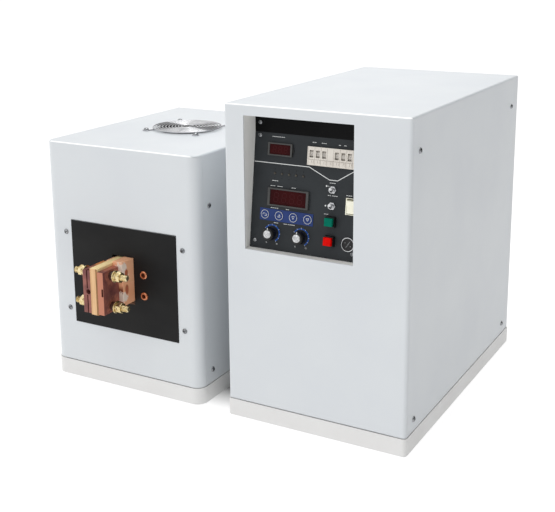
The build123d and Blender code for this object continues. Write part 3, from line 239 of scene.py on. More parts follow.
# Runs a tree on a seed mesh with the given sizes and returns the finished plain mesh
def runTree(tree, seedMesh, sizes):
    seed = addObject("seed", seedMesh)
    modifier = seed.modifiers.new("nodes", "NODES")
    modifier.node_group = tree
    for item in tree.interface.items_tree:
        if item.item_type == "SOCKET" and item.in_out == "INPUT" and item.name in sizes:
            modifier[item.identifier] = sizes[item.name]
    graph = bpy.context.evaluated_depsgraph_get()
    mesh = bpy.data.meshes.new_from_object(seed.evaluated_get(graph), depsgraph=graph)
    seed.modifiers.remove(modifier)
    bpy.data.objects.remove(seed)
    return mesh


def pointsMesh(points=((0, 0, 0),)):
    mesh = bpy.data.meshes.new("points")
    mesh.from_pydata([tuple(p) for p in points], [], [])
    return mesh


def rgb(levels):
    return [(c / 255 / 12.92 if c / 255 <= 0.04045 else ((c / 255 + 0.055) / 1.055) ** 2.4) for c in levels]


def onObject(tree):
    return treeNode(tree, "ShaderNodeTexCoord").outputs["Object"]


# Finishes: colour and second are mixed in soft blotches, rough is a range, grain is a fine bump
cloudRange, sheenRange = (0.35, 0.65), (0.3, 0.7)   # the parts of the noise that the mix and the gloss run over


def finish(name, colour, second=None, blotch=18.0, rough=(0.4, 0.5), metallic=0.0, grain=0.05,
           grainSize=900.0, grainDepth=0.00008, stretch=(1, 1, 1), coat=0.0, specular=0.5, detail=4.0):
    material = bpy.data.materials.new(name)
    material.use_nodes = True
    tree = material.node_tree
    shader = tree.nodes["Principled BSDF"]
    mapped = treeNode(tree, "ShaderNodeMapping", {"Vector": onObject(tree), "Scale": stretch})
    cloud = treeNode(tree, "ShaderNodeTexNoise", {"Vector": mapped, "Scale": blotch, "Detail": detail,
                                                  "Roughness": 0.55})
    other = rgb(second) if second else [c * 0.94 for c in rgb(colour)]
    mix = treeNode(tree, "ShaderNodeMix", {0: ranged(tree, cloud, *cloudRange), 6: (*rgb(colour), 1),
                                           7: (*other, 1)}, data_type="RGBA")
    fill(shader, {"Base Color": mix.outputs[2], "Roughness": ranged(tree, cloud, *sheenRange, *rough),
                  "Metallic": metallic, "Specular IOR Level": specular})
    if grain:
        fine = treeNode(tree, "ShaderNodeTexNoise", {"Vector": mapped, "Scale": grainSize, "Detail": 3.0})
        bump = treeNode(tree, "ShaderNodeBump", {"Height": fine, "Strength": grain, "Distance": grainDepth})
        fill(shader, {"Normal": bump})
    if coat:
        fill(shader, {"Coat Weight": coat, "Coat Roughness": 0.12})
    return material


def rangedAlong(tree, source, axis, low, high):
    parts = treeNode(tree, "ShaderNodeSeparateXYZ", {"Vector": source})
    return ranged(tree, parts.outputs[axis], low, high)


# A mask along one object axis: nought at low, one at high, both in mm
def axisMask(tree, axis, low, high):
    return rangedAlong(tree, onObject(tree), axis, low * mm, high * mm)


# A mask by where a face points along an axis: nought at low, one at high
def facingMask(tree, axis, low, high):
    normal = treeNode(tree, "ShaderNodeNewGeometry").outputs["True Normal"]
    return rangedAlong(tree, normal, axis, low, high)


# A mask that is one inside a stretched ball about a point, with a ragged rim
def spotMask(tree, spot, reach, soft=0.15, ragged=0.0, raggedSize=160.0):
    where = onObject(tree)
    local = treeNode(tree, "ShaderNodeVectorMath", {0: where, 1: tuple(c * mm for c in spot)}, operation="SUBTRACT")
    scaled = treeNode(tree, "ShaderNodeVectorMath", {0: local, 1: tuple(1 / (r * mm) for r in reach)},
                      operation="MULTIPLY")
    far = treeNode(tree, "ShaderNodeVectorMath", {0: scaled}, operation="LENGTH").outputs["Value"]
    cloud = treeNode(tree, "ShaderNodeTexNoise", {"Vector": where, "Scale": raggedSize, "Detail": 2.0})
    wobble = maths(tree, "MULTIPLY_ADD", cloud, ragged, far)
    return ranged(tree, wobble, 1 + soft + ragged / 2, 1 - soft + ragged / 2)


def allMasks(tree, first, *others):
    for other in others:
        first = maths(tree, "MULTIPLY", first, other)
    return first


# Lays a colour over what a finish has so far, where the mask is one
def overlay(material, mask, colour):
    shader = material.node_tree.nodes["Principled BSDF"]
    below = shader.inputs["Base Color"].links[0].from_socket
    mix = treeNode(material.node_tree, "ShaderNodeMix", {0: mask, 6: below, 7: (*rgb(colour), 1)}, data_type="RGBA")
    fill(shader, {"Base Color": mix.outputs[2]})


casePaint = finish("case powder coat", (216, 220, 223), (213, 217, 221), blotch=9, rough=(0.42, 0.5),
                   grain=0.2, grainSize=1100, grainDepth=0.0001, coat=0.05)
basePaint = finish("base powder coat", (227, 227, 226), (224, 223, 222), blotch=12, rough=(0.45, 0.55),
                   grain=0.2, grainSize=1000, grainDepth=0.0001)
# The reveal is the case's grey paint made near white: partly its paint, partly a painted highlight for light inside
# the window recess
revealPaintLightened = finish("reveal paint", (246, 246, 243), (242, 242, 239), rough=(0.45, 0.55), grain=0.15)
panelPaint = finish("panel paint", (47, 51, 54), (43, 46, 49), blotch=25, rough=(0.5, 0.6), grain=0.2,
                    grainSize=1500, grainDepth=0.00006, specular=0.2)
# The strip's colour is partly its black paint and partly painted shade from under the window's top edge, darker than
# the paint alone
stripPaintShaded = finish("strip paint", (13, 13, 14), (10, 10, 11), rough=(0.5, 0.6), grain=0.1, specular=0.08)
whiteInk = finish("white ink", (232, 234, 234), rough=(0.5, 0.6), grain=0.1)
darkInk = finish("dark ink", (34, 36, 38), rough=(0.5, 0.6), grain=0.1, specular=0.15)
blueInk = finish("blue ink", (30, 84, 170), (28, 76, 156), rough=(0.45, 0.55), grain=0.1, specular=0.3)
filmBlue = finish("blue film", (40, 62, 120), (34, 54, 108), blotch=40, rough=(0.35, 0.45), grain=0.1, specular=0.2)
blackPlastic = finish("black plastic", (16, 16, 17), (21, 21, 22), blotch=60, rough=(0.25, 0.4), grain=0.2,
                      specular=0.35)
meterFrame = finish("meter frame plastic", (70, 70, 69), (62, 62, 62), blotch=60, rough=(0.3, 0.42), grain=0.2,
                    specular=0.35)
redWindow = finish("red window", (56, 12, 14), (44, 9, 12), blotch=45, rough=(0.2, 0.3), grain=0, specular=0.06)
redDigits = finish("unlit digits", (60, 11, 15), (54, 9, 13), blotch=60, rough=(0.3, 0.4), grain=0, specular=0.1)
creamPlastic = finish("cream plastic", (226, 220, 211), (216, 209, 200), blotch=120, rough=(0.35, 0.5), grain=0.1)
wheelPlastic = finish("number wheel plastic", (206, 201, 194), (184, 179, 172), blotch=150, rough=(0.35, 0.5),
                      grain=0.1)
seamShade = finish("moulded seam", (140, 132, 124), (120, 112, 104), blotch=200, rough=(0.5, 0.6), grain=0)
greyInk = finish("grey ink", (164, 159, 153), rough=(0.5, 0.6), grain=0)
rockerPlastic = finish("rocker plastic", (252, 250, 232), (246, 243, 222), blotch=70, rough=(0.25, 0.35), grain=0.1,
                       coat=0.3)
greenCap = finish("green cap", (0, 112, 92), (0, 100, 80), blotch=120, rough=(0.2, 0.3), grain=0.1, specular=0.05)
redCap = finish("red cap", (216, 10, 4), (198, 6, 2), blotch=120, rough=(0.2, 0.3), grain=0.1, specular=0.05)
lensPlastic = finish("lens plastic", (74, 70, 62), (60, 57, 52), blotch=200, rough=(0.15, 0.25), grain=0,
                     specular=0.4)
chrome = finish("chrome", (214, 215, 217), (200, 201, 204), blotch=60, rough=(0.06, 0.12), metallic=1.0, grain=0)
brushedCap = finish("spun silver", (214, 215, 216), (162, 163, 165), blotch=420, rough=(0.12, 0.3), metallic=1.0,
                    grain=0.3, grainSize=2200)
# The toggle levers are pale and only half metallic: partly their metal, partly a painted reflection in place of the
# chrome's bright mirror
leverNickelPaintedReflection = finish("lever nickel painted reflection", (244, 245, 247), (226, 228, 230), blotch=160, rough=(0.2, 0.3), metallic=0.35,
                     grain=0)
zinc = finish("zinc plate", (168, 170, 172), (116, 118, 122), blotch=240, rough=(0.14, 0.3), metallic=1.0, grain=0.15)
wire = finish("guard wire", (206, 206, 208), (180, 181, 184), blotch=40, rough=(0.08, 0.16), metallic=1.0, grain=0)
laminate = finish("black laminate", (27, 27, 27), (23, 23, 24), blotch=14, rough=(0.4, 0.52), grain=0.3,
                  grainSize=420, grainDepth=0.00005, stretch=(1, 1, 1.6), specular=0.15)
amber = finish("amber laminate", (154, 104, 44), (130, 86, 32), blotch=60, rough=(0.3, 0.45), grain=0.1, coat=0.2)
tanLaminate = finish("tan laminate", (232, 190, 140), (210, 162, 112), blotch=260, rough=(0.4, 0.5), grain=0.2,
                     grainSize=700, stretch=(1, 1, 0.06), coat=0.1)
spacerBrown = finish("moulded spacer", (72, 44, 34), (54, 34, 28), blotch=120, rough=(0.35, 0.5), grain=0.1)
brass = finish("turned brass", (244, 228, 186), (206, 180, 120), blotch=170, rough=(0.12, 0.28), metallic=0.9,
               grain=0.15, grainSize=1600)
tubeCopper = finish("tube copper", (230, 156, 116), (200, 120, 82), blotch=180, rough=(0.16, 0.3), metallic=0.75,
                    grain=0.1)
tarnish = finish("tarnished copper", (152, 94, 84), (114, 66, 64), blotch=70, rough=(0.32, 0.48), metallic=0.35,
                 grain=0.3, grainSize=600, detail=6)
# The polished copper is nearly matt with a light salmon colour: partly its own colour, partly a painted reflection in
# place of a mirror finish
plateCopperAndSheen = finish("polished copper", (255, 192, 150), (246, 170, 126), blotch=30, rough=(0.24, 0.36),
                     metallic=0.05, grain=0.35, grainSize=900, grainDepth=0.00004, stretch=(1, 0.12, 1))
boardGreen = finish("circuit lacquer", (30, 92, 56), (26, 78, 48), blotch=60, rough=(0.3, 0.4))
milled = finish("milled aluminium", (186, 188, 190), (174, 176, 179), blotch=80, rough=(0.3, 0.42), metallic=1.0,
                grain=0.2, stretch=(1, 0.1, 1))
moulded = finish("moulded grey", (82, 82, 85), (72, 72, 75), rough=(0.45, 0.55))
canSleeve = finish("can sleeve", (44, 72, 118), (38, 62, 104), rough=(0.3, 0.4))
ferrite = finish("ferrite", (46, 46, 49), (38, 38, 40), blotch=120, rough=(0.5, 0.65), grain=0.4, grainSize=500)
magnetWire = finish("magnet wire", (164, 92, 56), (142, 76, 46), blotch=60, rough=(0.25, 0.4), metallic=0.6,
                    grain=0.4, grainSize=300, stretch=(0.1, 0.1, 1))

# Output pieces: spots are given from a middle line at x and z, as a middle and a reach, in mm
busbar = {"x": -138.5, "z": 152.0, "pale": (255, 236, 220), "darkReflection": (188, 106, 78), "studReflectionSalmon": (186, 116, 96),
          "salmon": (190, 124, 98), "brown": (138, 72, 46), "bore": (30, 12, 8), "topHighlightStraw": (252, 226, 168),
          "topHighlightOrange": (232, 150, 88), "lowFrom": 3, "frontFace": (-239.2, -238.2), "topEnd": (-219, -213),
          "sheetTop": (179.9, 180.3),
          "nutReflections": (((14, -206, 26), (9, 7, 7)), ((14, -204, 16), (9, 8, 4.5)), ((14, -206, -13), (9, 7, 7))),
          "darkReflections": (((17, -200.5, 17), (6, 3.4, 6.5)), ((17, -200.5, -4), (6, 3.4, 6.5))),
          "studReflections": (((0, -219, 20.5), (40, 14, 11)), ((0, -219, -20.5), (40, 14, 11))),
          "holeShades": (((-13.95, -200, 0), (4.2, 40, 4.2)), ((8.55, -200, 0), (1.42, 40, 5.6)))}
middle, centre = busbar["x"], busbar["z"]
rightHalf, leftHalf = ("X", middle, middle + 1), ("X", middle, middle - 1)
forward, upward, rightward = ("Y", -0.5, -0.8), ("Z", 0.5, 0.8), ("X", 0.5, 0.8)
copperTree, dull, bare = plateCopperAndSheen.node_tree, tarnish.node_tree, amber.node_tree


def copperSpot(tree, offset, reach, **rim):
    return spotMask(tree, (middle + offset[0], offset[1], centre + offset[2]), reach, **rim)


lowFront = allMasks(copperTree, facingMask(copperTree, *forward), axisMask(copperTree, *rightHalf),
                    axisMask(copperTree, "Z", centre + busbar["lowFrom"], centre - busbar["lowFrom"]))
overlay(plateCopperAndSheen, lowFront, busbar["brown"])
# Pale ragged patches on the polished copper: painted reflections of the nuts
for spot in busbar["nutReflections"]:
    overlay(plateCopperAndSheen, copperSpot(copperTree, *spot, ragged=1.5, raggedSize=430), busbar["pale"])
# Darker ovals on the polished copper: painted dark reflections
for spot in busbar["darkReflections"]:
    overlay(plateCopperAndSheen, copperSpot(copperTree, *spot, soft=0.2, ragged=0.3), busbar["darkReflection"])
# Lighter salmon ragged patches round the studs on the connectors: painted reflections of the nuts
for spot in busbar["studReflections"]:
    overlay(tarnish, copperSpot(dull, *spot, soft=0.25, ragged=1.3, raggedSize=260), busbar["studReflectionSalmon"])
overlay(tarnish, allMasks(dull, axisMask(dull, *rightHalf), facingMask(dull, *forward)), busbar["salmon"])
# Near-black spots on the connectors' front faces: painted shade standing in for the holes
for spot in busbar["holeShades"]:
    hole = allMasks(dull, copperSpot(dull, *spot, soft=0.02), axisMask(dull, "Y", *busbar["frontFace"]))
    overlay(tarnish, hole, busbar["bore"])
# Painted highlight: the up-facing faces at the rear end of the left connector are orange
rearTopHighlight = allMasks(dull, facingMask(dull, *upward), axisMask(dull, *leftHalf), axisMask(dull, "Y", *busbar["topEnd"]))
overlay(tarnish, rearTopHighlight, busbar["topHighlightOrange"])
# Painted highlight: the sheet's free edge above the right connector is as pale as its top, and the up-facing faces of
# both laminates are pale straw
overlay(amber, allMasks(bare, facingMask(bare, *rightward), axisMask(bare, "Z", *busbar["sheetTop"])), busbar["topHighlightStraw"])
overlay(amber, facingMask(bare, *upward), busbar["topHighlightStraw"])
overlay(tanLaminate, facingMask(tanLaminate.node_tree, *upward), busbar["topHighlightStraw"])

# A painted highlight along the folded edge above the front panels, where the bend would catch the light: height of
# each top, and its side of the gap
paintedEdgeHighlight = {"tops": ((400, 1), (330, -1)), "front": (-181.6, -182.2), "below": (1.6, 1.2),
              "colour": (255, 255, 255)}
edgeHighlightTree = casePaint.node_tree
for top, side in paintedEdgeHighlight["tops"]:
    line = allMasks(edgeHighlightTree, axisMask(edgeHighlightTree, "X", 0, side), axisMask(edgeHighlightTree, "Y", *paintedEdgeHighlight["front"]),
                    axisMask(edgeHighlightTree, "Z", *[top - drop for drop in paintedEdgeHighlight["below"]]))
    overlay(casePaint, line, paintedEdgeHighlight["colour"])

# The small meter's side clips are black
meterClips = {"left": (68.2, 67.8), "right": (100.8, 101.2), "above": (320, 321), "colour": (18, 18, 18)}
clips = meterFrame.node_tree
eitherClip = maths(clips, "ADD", *[axisMask(clips, "X", *meterClips[side]) for side in ("left", "right")])
overlay(meterFrame, allMasks(clips, eitherClip, axisMask(clips, "Z", *meterClips["above"])), meterClips["colour"])

# Painted highlight: the up-facing upper edge of the board is lighter than its faces
overlay(laminate, facingMask(laminate.node_tree, "Z", 0.5, 0.9), (150, 152, 154))
print("finishes mixed")

# The CAD nodes that keep their shape, by the finish they get
nodeFinishes = (
    (casePaint, "power_front_panel power_cover power_rear_panel head_front_panel head_cover head_rear_panel"),
    (basePaint, "power_base head_base"), (revealPaintLightened, "panel_surround"), (panelPaint, "control_panel"),
    (stripPaintShaded, "upper_strip"), (redWindow, "meter_windows"), (creamPlastic, "timer_housing"),
    (lensPlastic, "indicator_lenses"), (filmBlue, "key_strip key_1 key_2 key_3 key_4"), (zinc, "potentiometers"),
    (chrome, "toggle_bodies"), (leverNickelPaintedReflection, "toggle_lever_upper toggle_lever_lower"), (greenCap, "start_button"),
    (redCap, "stop_button"), (rockerPlastic, "rocker_frame rocker_key"), (boardGreen, "control_board"),
    (milled, "cold_plate"), (moulded, "power_modules"), (canSleeve, "bus_capacitors resonance_capacitors"),
    (blackPlastic, "button_collars terminal_block fan_frame fan_rotor cable_glands"),
    (tubeCopper, "water_ports"), (ferrite, "transformer_core"), (magnetWire, "primary_windings"),
    (brass, "water_fittings"),
)
for material, names in nodeFinishes:
    for name in names.split():
        for place in nodes[name].material_slots:
            place.link = "OBJECT"
            place.material = material
print("frame painted")

# Copper plates, their insulators, the clamp connectors, the black board and the meter frames get eased edges
for node, material, width in (("base_plates", plateCopperAndSheen, 0.5), ("insulation_sheet", amber, 0.25),
                              ("insulation_block", tanLaminate, 0.4), ("clamp_connectors", tarnish, 0.7),
                              ("insulating_board", laminate, 0.35), ("meter_frames", meterFrame, 0.3)):
    easedCopy(node, material, width)
print("output plates finished")

# Pan screws with cross recesses: the sizes of one, then spots and ways out by shank length, all in mm
screws = {
    "sizes": {"Head Radius": 3.6, "Head Height": 2.4, "Slot Width": 1.0, "Slot Depth": 1.7, "Shank Radius": 1.9,
              "Shank Length": 8.0, "Seed": 7},
    "seats": {
        8.0: [((x, y, z), (side, 0, 0)) for x, side in ((21.5, -1), (261.5, 1)) for y in (-160.0, 187.0)
              for z in (38.0, 360.0)]
        + [((x, y, z), (side, 0, 0)) for x, side in ((-261.5, -1), (-21.5, 1)) for y in (-155.0, 97.0)
           for z in (40.0, 262.0)]
        + [((x, 126.0, z), (0, 1, 0)) for x in (-252.5, -30.5) for z in (40.0, 290.0)]
        + [((x, 216.0, z), (0, 1, 0)) for x in (30.5, 252.5) for z in (40.0, 360.0)],
        12.0: [((x, -184.0, z), (0, -1, 0)) for x in (-233.1, -43.9) for z in (99.0, 207.0)],
        18.0: [((x, y, 331.8), (0, 0, 1)) for x in (-182.25, -99.75) for y in (-65.25, 17.25)]}}
panelScrews = {
    "sizes": {"Head Radius": 2.8, "Head Height": 1.8, "Slot Width": 0.9, "Slot Depth": 1.2, "Shank Radius": 1.5,
              "Shank Length": 5.0},
    "u": (-65.0, 65.0), "v": (9.4, 137.6), "stripY": -155.5, "stripZ": 375.0}


def screwTree(metal):
    tree, size = newTree("pan screws", screws["sizes"])
    ball = treeNode(tree, "GeometryNodeMeshUVSphere", {"Segments": 24, "Rings": 14, "Radius": 1.0})
    swell = combine(tree, size["Head Radius"], size["Head Radius"], size["Head Height"])
    dome = treeNode(tree, "GeometryNodeTransform", {"Geometry": ball, "Scale": swell})
    under = treeNode(tree, "GeometryNodeMeshCube", {"Size": (12, 12, 6)})   # takes the ball's lower half away
    below = treeNode(tree, "GeometryNodeTransform", {"Geometry": under, "Translation": (0, 0, -3)})
    arm = maths(tree, "MULTIPLY", size["Head Radius"], 1.25)
    tall = maths(tree, "MULTIPLY", size["Slot Depth"], 2.0)
    lift = combine(tree, 0, 0, size["Head Height"])
    cutters = [below]
    for extent in ((arm, size["Slot Width"], tall), (size["Slot Width"], arm, tall)):
        bar = treeNode(tree, "GeometryNodeMeshCube", {"Size": combine(tree, *extent)})
        cutters.append(treeNode(tree, "GeometryNodeTransform", {"Geometry": bar, "Translation": lift}))
    cut = treeNode(tree, "GeometryNodeMeshBoolean", {"Mesh 1": dome, "Mesh 2": cutters}, operation="DIFFERENCE")
    rod = treeNode(tree, "GeometryNodeMeshCylinder", {"Vertices": 16, "Radius": size["Shank Radius"],
                                                      "Depth": size["Shank Length"]})
    drop = combine(tree, 0, 0, maths(tree, "MULTIPLY", size["Shank Length"], -0.5))
    shank = treeNode(tree, "GeometryNodeTransform", {"Geometry": rod, "Translation": drop})
    whole = treeNode(tree, "GeometryNodeJoinGeometry", {"Geometry": [shank, cut]})
    way = treeNode(tree, "GeometryNodeInputNamedAttribute", {"Name": "way"}, data_type="FLOAT_VECTOR")
    aim = treeNode(tree, "FunctionNodeAlignRotationToVector", {"Vector": way.outputs["Attribute"]}, axis="Z")
    chance = treeNode(tree, "FunctionNodeRandomValue", {"Seed": size["Seed"]}, data_type="FLOAT")
    spin = treeNode(tree, "FunctionNodeEulerToRotation", {"Euler": combine(tree, 0, 0, chance.outputs[1])})
    turned = treeNode(tree, "FunctionNodeRotateRotation", {"Rotation": aim, "Rotate By": spin},
                      rotation_space="LOCAL")
    heads = treeNode(tree, "GeometryNodeInstanceOnPoints", {"Points": size["Geometry"], "Instance": whole,
                                                            "Rotation": turned})
    return closeTree(tree, heads, metal)


def seatMesh(seats):
    mesh = pointsMesh([spot for spot, way in seats])
    ways = mesh.attributes.new("way", "FLOAT_VECTOR", "POINT")
    ways.data.foreach_set("vector", [c for spot, way in seats for c in way])
    return mesh


screwNodes = screwTree(zinc)
bm = bmesh.new()
for length, seats in screws["seats"].items():
    bm.from_mesh(runTree(screwNodes, seatMesh(seats), {**screws["sizes"], "Shank Length": length}))
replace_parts(fromBmesh("case_screw_set", bm, inPlace, zinc, "cabinets", smooth=30), "case_screws")
seats = [(onPanel(u, v).col[3].xyz, onPanel().col[2].xyz) for u in panelScrews["u"] for v in panelScrews["v"]]
seats += [((panel["centre"][0] + u, panelScrews["stripY"], panelScrews["stripZ"]), (0, -1, 0))
          for u in panelScrews["u"]]
bm = bmesh.new()
bm.from_mesh(runTree(screwNodes, seatMesh(seats), panelScrews["sizes"]))
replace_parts(fromBmesh("panel_screw_set", bm, inPlace, zinc, "cabinets", smooth=30), "panel_screws")
print("screws done")

# Clamp studs with nuts and washers on four seats; face and tail are by side, left -1 and right 1
studSet = {"x": -138.5, "y": -223.5, "z": 152.0, "spread": 41.0, "face": {-1: 22.15, 1: 10.35}, "spacer": 6.5,
           "washer": 1.6, "spring": 2.2, "nut": 6.5, "across": 13.0, "bore": 4.05, "chamfer": 0.9,
           "tail": {-1: 8.0, 1: 9.6}, "split": 0.09, "coilSteps": 40, "bare": (0.8, 1.6),
           "thread": {"Thread Radius": 3.95, "Thread Pitch": 1.25, "Turns": 7, "Thread Start": 10.9},
           "collar": [(4.2, 0.02), (5.5, 0.02), (5.8, 0.3), (5.8, 6.2), (5.5, 6.48), (4.2, 6.48)]}


# One stud with its washer, split spring washer and nut; returns the height where the nut ends
def addStud(bm, side):
    s = studSet
    seat = s["spacer"]
    spring = seat + s["washer"]
    base = spring + s["spring"]
    top = base + s["nut"]
    addTurned(bm, [(4.2, seat), (7.75, seat), (8.0, seat + 0.25), (8.0, spring - 0.25), (7.75, spring),
                   (4.2, spring)], 40)
    coil = []
    for i in range(s["coilSteps"] + 1):
        along = i / s["coilSteps"]
        rise = spring + 0.12 + 0.25 * along
        turn = s["split"] + (2 * pi - 2 * s["split"]) * along
        coil.append([bm.verts.new((*around(radius, turn), z)) for radius, z in
                     ((4.3, rise), (6.35, rise), (6.35, rise + 1.7), (4.3, rise + 1.7))])
    addWalls(bm, coil)
    bm.faces.new(coil[0])
    bm.faces.new(coil[-1][::-1])
    addHexNut(bm, s["across"], base, top, s["bore"], s["chamfer"])
    end = top + s["tail"][side]
    addTurned(bm, [(0, -1.0), (3.8, -1.0), (3.8, end - 0.9), (3.0, end), (0, end)], 32)
    return top


# A hexagon nut with corners turned down at both faces
def addHexNut(bm, across, low, high, bore, chamfer, count=36):
    corner = across / 2 / cos(pi / 6)
    rings = []
    for radius, height in ((bore, low), (across / 2 * 0.96, low), (corner, low + chamfer), (corner, high - chamfer),
                           (across / 2 * 0.96, high), (bore, high)):
        turns = [2 * pi * i / count for i in range(count)]
        flats = [across / 2 / cos((turn + pi / 6) % (pi / 3) - pi / 6) for turn in turns]
        rings.append([bm.verts.new((*around(min(radius, flat), turn), height)) for turn, flat in zip(turns, flats)])
    addWalls(bm, rings, closed=True)


def threadTree():
    tree, size = newTree("clamp studs", studSet["thread"])
    line = treeNode(tree, "GeometryNodeMeshLine", {
        "Count": size["Turns"], "Start Location": combine(tree, 0, 0, size["Thread Start"]),
        "Offset": combine(tree, 0, 0, size["Thread Pitch"])})
    loop = treeNode(tree, "GeometryNodeCurvePrimitiveCircle", {"Resolution": 32, "Radius": size["Thread Radius"]})
    crest = treeNode(tree, "GeometryNodeCurvePrimitiveCircle", {"Resolution": 6, "Radius": 0.3})
    thread = treeNode(tree, "GeometryNodeCurveToMesh", {"Curve": loop, "Profile Curve": crest})
    threads = treeNode(tree, "GeometryNodeInstanceOnPoints", {"Points": line, "Instance": thread})
    both = treeNode(tree, "GeometryNodeJoinGeometry", {"Geometry": [threads, size["Geometry"]]})
    return closeTree(tree, both, brass)


threadNodes = threadTree()
allStuds = bmesh.new()
allCollars = bmesh.new()
for side in (-1, 1):
    for level in (-1, 1):
        bm = bmesh.new()
        top = addStud(bm, side)
        bmesh.ops.recalc_face_normals(bm, faces=bm.faces)
        nearNut, nearEnd = studSet["bare"]
        turns = int((studSet["tail"][side] - nearEnd) / studSet["thread"]["Thread Pitch"]) + 1
        threaded = runTree(threadNodes, toMesh(bm, "stud"), {**studSet["thread"], "Turns": turns,
                                                             "Thread Start": top + nearNut})
        spot = (studSet["x"] + side * studSet["face"][side], studSet["y"],
                studSet["z"] + level * studSet["spread"] / 2)
        onSide = axes((0, 1, 0), (0, 0, side), (side, 0, 0), spot)
        threaded.transform(onSide)
        allStuds.from_mesh(threaded)
        ring = bmesh.new()
        addTurned(ring, studSet["collar"], 32)
        ring.transform(onSide)
        allCollars.from_mesh(toMesh(ring, "collar"))
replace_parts(fromBmesh("clamp_studs", allStuds, inPlace, brass, "cabinets", smooth=30), "connector_fasteners")
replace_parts(fromBmesh("stud_spacers", allCollars, inPlace, spacerBrown, "cabinets"), "connector_fasteners")
print("studs done")

# Fan guard: rings by nodes, four spokes below them, and an ear at each screw
guard = {"x": -141.0, "y": -24.0, "top": 330.0, "hole": 41.25, "spoke": 1.1, "overlap": 1, "short": 3.8,
         "sunk": 0.35, "ear": [(2.3, 0.1), (4.7, 0.1), (5.0, 0.4), (5.0, 1.4), (4.7, 1.75), (2.3, 1.75)],
         "rings": {"Outer Radius": 48.0, "Ring Step": 4.4, "Rings": 10, "Wire Radius": 0.95}}


def guardTree():
    tree, size = newTree("guard rings", guard["rings"])
    line = treeNode(tree, "GeometryNodeMeshLine", {"Count": size["Rings"], "Offset": (0, 0, 0)})
    less = maths(tree, "MULTIPLY", treeNode(tree, "GeometryNodeInputIndex"), size["Ring Step"])
    radius = maths(tree, "SUBTRACT", size["Outer Radius"], less)
    circle = treeNode(tree, "GeometryNodeCurvePrimitiveCircle", {"Resolution": 96, "Radius": 1.0})
    rings = treeNode(tree, "GeometryNodeInstanceOnPoints", {"Points": line, "Instance": circle, "Scale": radius})
    real = treeNode(tree, "GeometryNodeRealizeInstances", {"Geometry": rings})
    section = treeNode(tree, "GeometryNodeCurvePrimitiveCircle", {"Resolution": 10, "Radius": size["Wire Radius"]})
    wires = treeNode(tree, "GeometryNodeCurveToMesh", {"Curve": real, "Profile Curve": section})
    return closeTree(tree, wires, wire)


rings = guard["rings"]
ringMesh = runTree(guardTree(), pointsMesh(), rings)
ringMesh.transform(Matrix.Translation((0, 0, 2 * guard["spoke"] + rings["Wire Radius"] - guard["sunk"])))
bm = bmesh.new()
bm.from_mesh(ringMesh)
reach = guard["hole"] * 2 ** 0.5
inner = rings["Outer Radius"] - rings["Ring Step"] * (rings["Rings"] - 1) - guard["overlap"]
for i in range(4):
    turn = Matrix.Rotation(radians(45 + 90 * i), 4, "Z")
    laid = turn @ Matrix.Translation((0, 0, guard["spoke"])) @ Matrix.Rotation(pi / 2, 4, "Y")
    spoke = addTurned(bm, disc(guard["spoke"], inner, reach - guard["short"]), 12)
    bmesh.ops.transform(bm, matrix=laid, verts=spoke)
    bmesh.ops.translate(bm, vec=turn @ Vector((reach, 0, 0)), verts=addTurned(bm, guard["ear"], 28))
fanGuard = fromBmesh("fan_guard_wires", bm, Matrix.Translation((guard["x"], guard["y"], guard["top"])), wire,
                     "cabinets", smooth=40)
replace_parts(fanGuard, "fan_guard")
print("fan guard done")

# Marks printed on the control panel; the dashes are u from, u to, v
inkLow, inkHigh = 0.005, 0.06
whiteLine = [(-71.0, 105.3), (3.4, 105.3), (30.4, 92.8), (41.2, 92.8), (61.0, 105.3), (71.0, 105.3)]
dashes = [
    (-48.6, -31.0, 137.2), (5.7, 11.3, 134.8), (17.7, 24.4, 134.6), (39.9, 42.9, 134.2), (46.5, 50.2, 134.2),
    (-45.7, -37.1, 84.4), (-47.6, -40.6, 78.1), (-38.2, -30.5, 78.1), (-18.9, -12.8, 78.1),
    (-45.9, -35.0, 51.4), (-24.9, -20.2, 51.4), (31.0, 39.0, 89.4), (29.5, 33.9, 74.6), (34.9, 42.5, 74.6),
    (26.0, 31.9, 52.4), (-40.3, -34.0, 33.6), (-27.0, -22.3, 33.6), (-21.4, -11.6, 33.6), (53.1, 61.1, 77.0),
]
marks = {"line": 0.8, "dashPitch": 2.6, "dashGap": 0.5, "dashHeight": 0.6, "dots": ((27.4, 85.4), (27.4, 62.2)),
         "dot": 0.95, "dotBar": (2.6, 1.6, 0.4), "lampU": [-42.2 + 9.6 * i for i in range(5)], "lampV": 93.3,
         "lamp": ((5.2, 0.7, 2.4), (-5.6, 1.6, 0.6))}
bm = bmesh.new()
addPrism(bm, ribbon(whiteLine, marks["line"]), inkLow, inkHigh)
for start, end, v in dashes:
    spots = max(1, round((end - start) / marks["dashPitch"]))
    pitch = (end - start) / spots
    for i in range(spots):
        dash = rectangle(start + (i + 0.5) * pitch, v, pitch - marks["dashGap"], marks["dashHeight"])
        addPrism(bm, dash, inkLow, inkHigh)
for u, v in marks["dots"]:
    beside, width, height = marks["dotBar"]
    addTurned(bm, disc(marks["dot"], inkLow, inkHigh), 20, (u, v))
    addPrism(bm, rectangle(u + beside, v, width, height), inkLow, inkHigh)
fromBmesh("panel_print", bm, onPanel(), whiteInk, "cabinets")
bm = bmesh.new()
for u in marks["lampU"]:
    for rise, width, height in marks["lamp"]:
        addPrism(bm, rectangle(u, marks["lampV"] + rise, width, height), inkLow, inkHigh)
fromBmesh("lamp_marks", bm, onPanel(), darkInk, "cabinets")

